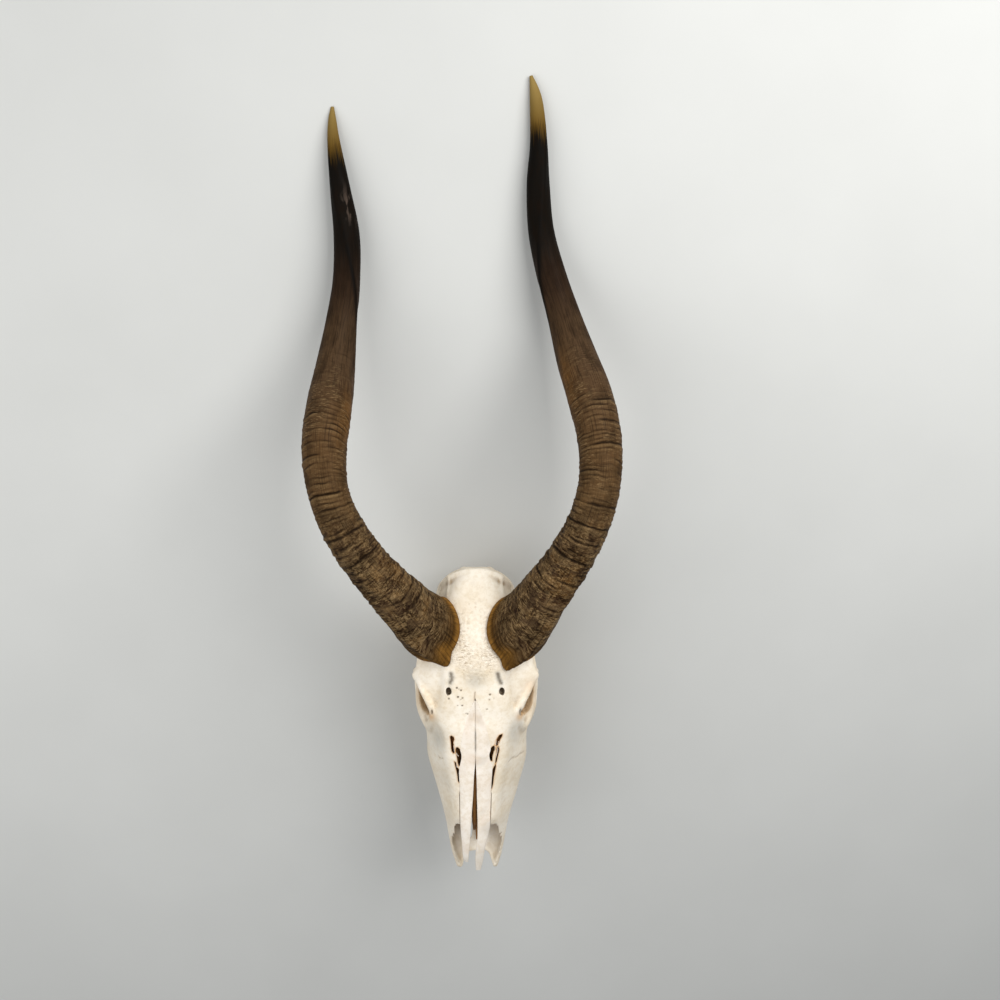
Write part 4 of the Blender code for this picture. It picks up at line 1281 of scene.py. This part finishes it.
def hornPiece(word):
    shape = hornShape[word]
    seed = shape["seed"]
    course = hornAxis(shape["stations"], shape["keelStart"])
    total = course["at"][-1]
    places = [0.0]
    while places[-1] < total:
        places.append(places[-1] + next(step for end, step in hornShape["rows"] if places[-1] < end))
    places[-1] = total
    rings = [hornRing(course, s, hornShape["sides"])[0] for s in places]
    obj = loft(f"horn_{word}_sheath", rings)
    cutBy(obj, seat, keep=True)
    largestBody(obj)

    spots = readPoints(obj)
    s, turn, fromKeel, radial, skin = hornPlaces(spots, course)
    gap = np.full(len(s), 99.0)  # distance from the skull
    for k in np.flatnonzero(s < 130):
        found = skullTree.find_nearest(spots[k])
        gap[k] = found[3] if found[3] is not None else 99.0
    wrap = np.stack([np.cos(turn) * 10, np.sin(turn) * 10, s], axis=1)
    sway = 1.5 * grit(wrap / (10, 10, 30), 0.9, seed) + 0.8 * grit(wrap / (4, 4, 14), 1.0, seed + 5)
    lift, ringLine = growthRings(s, turn, sway, shape, random.Random(seed))

    # rough, braided growth over the lowest part: strands that run round the horn and cross
    coarse = ease(28, 56, s) * (1 - ease(140, 205, s))
    slant = wrap + np.stack([0 * s, 0 * s, 2.4 * np.sin(turn * 3 + s / 13) + 3.0 * sway], axis=1)
    strands = 1 - 2 * np.abs(grit(slant / (5.0, 5.0, 2.6), 1.0, seed + 9))
    knots = 1 - 2 * np.abs(grit(slant / (2.6, 2.6, 4.2), 1.0, seed + 13))
    lumps = grit(wrap / (6.0, 6.0, 11.0), 1.0, seed + 2)
    patches = ease(-0.2, 0.3, grit(wrap / (7, 7, 24), 1.0, seed + 21))
    lumpHeight, strandHeight, knotHeight = hornShape["bark"]
    lift += coarse * (lumpHeight * lumps + strandHeight * (strands - 0.55) + knotHeight * (knots - 0.55))

    # near the skull: arcs that follow the rim, a groove, then the raised amber collar
    low = s < 125
    calm = ease(6, 20, gap)
    lift *= 0.12 + 0.88 * calm
    rimWave = gap + 1.3 * grit(wrap / (8, 8, 10), 1.0, 3.0)
    arcs = np.sin(rimWave * math.tau / hornShape["arcSpacing"] + 1.5 * grit(wrap / (5, 5, 9), 1.0, 8.0))
    lift += hornShape["arcs"] * arcs * ease(8, 11, gap) * (1 - ease(18, 30, gap)) * (1 - ease(100, 125, s))
    collarHeight, grooveDepth = hornShape["collar"]
    lift += (collarHeight * bell(rimWave - 3.4, 2.6) - grooveDepth * bell(rimWave - 8.4, 1.5)) * low
    lift *= skin
    writePoints(obj, spots + radial * lift[:, None])

    # painted highlight: raised parts are painted lighter
    paint(obj, "crestTint", np.clip(lift * 0.55, 0, 0.6) * skin * (1 - ease(280, 380, s)))
    paint(obj, "barkTint", coarse * (0.45 + 0.55 * calm) * (0.75 + 0.25 * patches))
    paint(obj, "lineTint", (1 - ease(270, 350, s)) * (1 - 0.6 * coarse) * (0.35 + 0.65 * patches) * calm)
    place, reach, most = shape["chipsAt"]
    paint(obj, "chipTint", most * bell(s - place, reach) * ease(-0.2, 0.6, -np.sin(turn)))
    # painted shade: low places, hollows and the crease under each ring are painted darker
    deep = hollowness(obj, readPoints(obj), readPoints(obj, "normal"))
    furrow = np.clip(-lift * 0.5, 0, 0.5) + np.clip(deep * 6.0, 0, 0.5)
    paint(obj, "furrowTint", furrow + np.clip(ringLine * calm * 1.3, 0, 0.8) * skin)
    ragged = fromKeel + 0.012 * gap + 0.1 * grit(wrap / (4, 4, 6), 1.0, 41.0)
    foot = (1 - ease(0.42, 0.95, ragged)) * (1 - ease(11, 25, gap)) * (gap < 60)
    glow = 0.42 * (1 - ease(8, 21, gap)) * (0.6 + 0.4 * arcs)
    paint(obj, "rimTint", np.maximum(np.maximum(1 - ease(5.4, 8.2, rimWave), foot * 0.9), glow) * low)
    ochre = coarse * 0.7 * ease(0.15, 0.6, lumps)
    for place, middle, reach, span in shape["ochreSpots"]:
        off = np.degrees(turnBetween(turn, math.radians(middle)))
        ochre += 0.8 * bell(s - place, reach) * bell(off, span)
    paint(obj, "ochreTint", ochre)
    end, start = shape["creaseLine"]
    paint(obj, "creaseTint", bell(fromKeel, 0.16) * ease(start - 50, start + 10, s) * (1 - ease(end, end + 30, s)))
    # round and along the horn; the growth lines follow the rim near the skull
    near = 1 - ease(25, 75, gap)
    grown = s * (1 - near) + (gap + 32 + 2.0 * (rimWave - gap)) * near
    grain = obj.data.attributes.new("grain", "FLOAT_VECTOR", "POINT")
    grain.data.foreach_set("vector", np.stack([np.cos(turn), np.sin(turn), grown], axis=1).ravel())
    print(f"horn_{word}:", len(obj.data.polygons), "faces,", round(total), "mm along its middle")
    return obj


def hornMaterial(name, look, ivoryFrom):
    made, tree = newMaterial(name)
    grain = addNode(tree, "ShaderNodeAttribute", {"attribute_name": "grain"})
    split = addNode(tree, "ShaderNodeSeparateXYZ", links={0: grain.outputs["Vector"]})
    noises = {}
    for key, (across, along, detail, distortion, roughness) in look["noises"].items():
        stretched = addNode(tree, "ShaderNodeMapping", {
            "Scale": (look["radius"] / across, look["radius"] / across, 1 / along),
        }, {"Vector": grain.outputs["Vector"]})
        noises[key] = addNode(tree, "ShaderNodeTexNoise", {
            "Scale": 1.0, "Detail": detail, "Roughness": roughness, "Distortion": distortion,
        }, {"Vector": stretched.outputs[0]}).outputs["Fac"]
    masks = {}
    for key in ("ochre", "bark", "line", "crest", "furrow", "crease", "rim", "chip"):
        masks[key + "Tint"] = addNode(tree, "ShaderNodeAttribute", {"attribute_name": key + "Tint"}).outputs["Fac"]
    masks["rubbed"] = addNode(tree, "ShaderNodeMath", {"operation": "SUBTRACT", 0: 1.15, "use_clamp": True}, {
        1: masks["lineTint"],
    }).outputs[0]

    # colour by place, then the layers of the table
    drawn = addNode(tree, "ShaderNodeMath", {"operation": "MULTIPLY_ADD", 1: look["zoneDrift"]}, {
        0: noises["streaks"], 2: split.outputs["Z"],
    })
    shift = look["zoneDrift"] / 2
    place = addNode(tree, "ShaderNodeMapRange", {"From Min": shift, "From Max": 600 + shift}, {
        "Value": drawn.outputs[0],
    })
    zones = addNode(tree, "ShaderNodeValToRGB", {
        "stops": [(s / 600, colour) for s, colour in look["zones"]],
    }, {"Fac": place.outputs[0]})
    last = zones.outputs["Color"]
    for pattern, stops, layer, most, shade in look["layers"]:
        fade = masks.get(layer)
        if pattern:
            ramp = addNode(tree, "ShaderNodeValToRGB", {"stops": stops}, {"Fac": noises[pattern]})
            fade = addNode(tree, "ShaderNodeMath", {"operation": "MULTIPLY", 1: 1.0}, {
                0: ramp.outputs["Color"], **({1: fade} if layer else {}),
            }).outputs[0]
        part = addNode(tree, "ShaderNodeMath", {"operation": "MULTIPLY", 1: most, "use_clamp": True}, {0: fade})
        step = addNode(tree, "ShaderNodeMix", {"data_type": "RGBA", 7: look[shade]}, {0: part.outputs[0], 6: last})
        last = step.outputs[2]

    # worn through to clear keratin, honey below and ivory at the point
    tipFac = addNode(tree, "ShaderNodeMapRange", {"From Min": ivoryFrom + 18.0, "From Max": ivoryFrom + 34.0}, {
        "Value": drawn.outputs[0],
    })
    tipTone = addNode(tree, "ShaderNodeMapRange", {"From Min": ivoryFrom + 6.0, "From Max": ivoryFrom + 40.0}, {
        "Value": split.outputs["Z"],
    })
    clear = addNode(tree, "ShaderNodeMix", {"data_type": "RGBA", 6: look["honey"], 7: look["ivory"]}, {
        0: tipTone.outputs[0],
    })
    tone = addNode(tree, "ShaderNodeMix", {"data_type": "RGBA"}, {
        0: tipFac.outputs[0], 6: last, 7: clear.outputs[2],
    })
    rough = addNode(tree, "ShaderNodeMath", {"operation": "MULTIPLY"}, {0: noises["bark"], 1: masks["barkTint"]})
    lined = addNode(tree, "ShaderNodeMath", {"operation": "MULTIPLY_ADD"}, {
        0: noises["finer"], 1: masks["lineTint"], 2: rough.outputs[0],
    })
    height = addNode(tree, "ShaderNodeMath", {"operation": "MULTIPLY_ADD", 1: 0.25}, {
        0: noises["fibres"], 2: lined.outputs[0],
    })
    bump = addNode(tree, "ShaderNodeBump", {"Strength": 0.7, "Distance": look["bumpMetres"]}, {
        "Height": height.outputs[0],
    })
    sheen = addNode(tree, "ShaderNodeMapRange", {
        "From Min": 0.3, "From Max": 0.7, "To Min": look["roughness"] + 0.12, "To Max": look["roughness"] - 0.06,
    }, {"Value": noises["clouds"]})
    shader = addNode(tree, "ShaderNodeBsdfPrincipled", {"IOR": 1.54, "Specular IOR Level": 0.03}, {
        "Base Color": tone.outputs[2], "Roughness": sheen.outputs[0], "Normal": bump.outputs["Normal"],
    })
    addNode(tree, "ShaderNodeOutputMaterial", links={"Surface": shader.outputs[0]})
    return made


for word in ("right", "left"):
    sheath = hornPiece(word)
    keratin = hornMaterial(f"hornKeratin{word.capitalize()}", hornLook, hornShape[word]["ivoryFrom"])
    finishPiece(sheath, keratin, "horn_keratin", f"horn_{word}")
bpy.data.objects.remove(seat)

for obj, node in noses + [(cranium, "cranium")]:
    finishPiece(obj, bleachedBone, "bone", node)


# tooth enamel round dentine: ivory enamel ridges stand above worn brown dentine, with dark
# food-stained crescents between them
toothLook = {
    "enamel": "#E4D9C0",
    "dentine": "#A9875A",
    "stain": "#3A2A1B",
    "crown": "#CDBB98",
    "roughness": 0.32,
    "cloudSize": 3.0,  # in mm, as are the lines that run up the crown
    "lineSize": (0.8333, 0.8333, 8.333),
    "bumpMetres": 0.0003,
}


def toothMaterial(name, look):
    made, tree = newMaterial(name)
    spot = layoutMillimetres(tree)
    cloud = addNode(tree, "ShaderNodeTexNoise", {"Scale": 1 / look["cloudSize"], "Detail": 5.0}, {"Vector": spot})
    tall = addNode(tree, "ShaderNodeMapping", {"Scale": [1 / size for size in look["lineSize"]]}, {"Vector": spot})
    lines = addNode(tree, "ShaderNodeTexNoise", {"Scale": 1.0, "Detail": 4.0}, {"Vector": tall.outputs[0]})
    tone = addNode(tree, "ShaderNodeMix", {"data_type": "RGBA", 6: look["crown"], 7: look["enamel"]}, {
        0: lines.outputs["Fac"],
    })
    for layer, shade in (("dentine", "dentine"), ("toothStain", "stain")):
        mask = addNode(tree, "ShaderNodeAttribute", {"attribute_name": layer})
        tone = addNode(tree, "ShaderNodeMix", {"data_type": "RGBA", 7: look[shade]}, {
            0: mask.outputs["Fac"], 6: tone.outputs[2],
        })
    bump = addNode(tree, "ShaderNodeBump", {"Strength": 0.3, "Distance": look["bumpMetres"]}, {
        "Height": lines.outputs["Fac"],
    })
    sheen = addNode(tree, "ShaderNodeMapRange", {"To Min": look["roughness"], "To Max": look["roughness"] + 0.25}, {
        "Value": cloud.outputs["Fac"],
    })
    shader = addNode(tree, "ShaderNodeBsdfPrincipled", {"IOR": 1.62}, {
        "Base Color": tone.outputs[2], "Roughness": sheen.outputs[0], "Normal": bump.outputs["Normal"],
    })
    addNode(tree, "ShaderNodeOutputMaterial", links={"Surface": shader.outputs[0]})
    return made


def toothPiece(name, side, y, x, length, breadth, lobes):
    # rings from the root down to the biting edge, then inward over the chewing surface
    edge, steps = teeth["crownRows"][-1][1], teeth["biteRings"]
    rows = [*teeth["crownRows"], *[(0.0, edge * (1 - k / (steps + 0.6))) for k in range(1, steps + 1)]]
    rings = []
    for z, share in rows:
        rings.append([(side * (x + u), y + v, z) for u, v in toothOutline(length, breadth, lobes, share)])
    obj = loft(name, rings)
    spots = readPoints(obj)
    u = side * (spots[:, 0] - side * x) / (breadth / 2)
    v = (spots[:, 1] - y) / (length / 2)
    biting = spots[:, 2] < 0.3
    ridge = bell(np.maximum(np.abs(u), np.abs(v)) - 0.86, 0.07)
    stain = np.zeros(len(u))
    # middles of the lobes, how narrow they are, and the crescents of each: place and bend
    middles, squeeze, crescents = ((0.0,), 1.0, ((0.05, 1),))
    if lobes == 2:
        middles, squeeze, crescents = ((-0.46, 0.46), 1.9, ((-0.32, -1), (0.36, 1)))
    for middle in middles:
        w = (v - middle) * squeeze
        reach = 1 - ease(0.5, 0.75, np.abs(w))
        for place, bend in crescents:
            # a thin arc, open to the tongue side
            arc = np.abs((u - place) + bend * 0.22 * (w * w) - bend * 0.08)
            stain = np.maximum(stain, bell(arc, 0.07) * reach)
            ridge = np.maximum(ridge, bell(arc - 0.17, 0.06) * reach)
    spots[:, 2] += np.where(biting, teeth["relief"] * (0.55 - 0.75 * ridge + 0.6 * stain), 0.0)
    spots[:, 2] = np.maximum(spots[:, 2], 0.0)
    writePoints(obj, spots)
    paint(obj, "dentine", biting * (1 - ridge) * 0.9)
    gum = 0.5 * bell(spots[:, 2] - teeth["gumLine"], 1.6)
    paint(obj, "toothStain", np.maximum(biting * stain, gum))
    return obj


enamel = toothMaterial("toothEnamel", toothLook)
for side, word in ((1, "left"), (-1, "right")):
    for number, tooth in enumerate(teeth["row"], 1):
        crown = toothPiece(f"cheek_tooth_{word}_{number}", side, *tooth)
        finishPiece(crown, enamel, "tooth_enamel", f"tooth_{word}_{number}")
print("teeth ready")


# the floor, the light and the camera; places are in the skull's own frame
studio = {
    "floor": ("#C2C2BE", "#CBCBC7"),
    "floorReach": 4.0,  # metres
    "cloudsPerMetre": 7.0,
    "cameraHeight": 1250.0,
    "cameraOver": (23.0, 370.4),
    "millimetresAcross": 1020.0,  # what the square frame covers at the height of the teeth
    # watts, size in metres, place
    "lamps": {
        "keyLight": (16.4, 0.9, (620, 760, 1150)),
        "fillLight": (9.0, 1.2, (-800, 150, 1000)),
    },
    "lampsAimAt": (0, 330, 90),
    "sky": "#E9EDF2",
    "skyStrength": 0.36,
}


# painted board: flat, matt and even, with faint clouds where the paint lies thicker
def floorMaterial():
    made, tree = newMaterial("paintedBoard")
    spot = addNode(tree, "ShaderNodeTexCoord")
    cloud = addNode(tree, "ShaderNodeTexNoise", {"Scale": studio["cloudsPerMetre"], "Detail": 6.0}, {
        "Vector": spot.outputs["Object"],
    })
    dark, pale = studio["floor"]
    shade = addNode(tree, "ShaderNodeMix", {"data_type": "RGBA", 6: dark, 7: pale}, {0: cloud.outputs["Fac"]})
    shader = addNode(tree, "ShaderNodeBsdfPrincipled", {"Roughness": 0.8}, {"Base Color": shade.outputs[2]})
    addNode(tree, "ShaderNodeOutputMaterial", links={"Surface": shader.outputs[0]})
    return made


bm = bmesh.new()
bmesh.ops.create_grid(bm, x_segments=2, y_segments=2, size=studio["floorReach"])
floor = meshObject("floor", bm)
floor.data.materials.append(floorMaterial())


def placed(name, data, where, aim):
    # a lamp or camera at one point, looking at another, with the occiput's side up
    obj = bpy.data.objects.new(name, data)
    bpy.context.scene.collection.objects.link(obj)
    start, goal = toGround @ Vector(where), toGround @ Vector(aim)
    up = (toGround.to_3x3() @ Vector((0, 1, 0))).normalized()
    back = (start - goal).normalized()
    right = up.cross(back).normalized()
    up = back.cross(right)
    obj.matrix_world = Matrix((
        (right.x, up.x, back.x, start.x), (right.y, up.y, back.y, start.y),
        (right.z, up.z, back.z, start.z), (0, 0, 0, 1),
    ))
    return obj


for name, (watts, size, where) in studio["lamps"].items():
    lamp = bpy.data.lights.new(name, "AREA")
    lamp.energy = watts
    lamp.size = size
    placed(name, lamp, where, studio["lampsAimAt"])

world = bpy.data.worlds.new("softSky")
world.use_nodes = True
background = world.node_tree.nodes["Background"]
background.inputs["Color"].default_value = linear(studio["sky"])
background.inputs["Strength"].default_value = studio["skyStrength"]

photoCamera = bpy.data.cameras.new("photoCamera")
photoCamera.sensor_width = 36.0
photoCamera.lens = photoCamera.sensor_width * studio["cameraHeight"] / studio["millimetresAcross"]
photoCamera.clip_end = 20.0
over = studio["cameraOver"]
bpy.context.scene.world = world
bpy.context.scene.camera = placed("photoCamera", photoCamera, (*over, studio["cameraHeight"]), (*over, 0))
bpy.context.scene.view_settings.view_transform = "Standard"
bpy.context.scene.view_settings.look = "None"

print("stage ready")
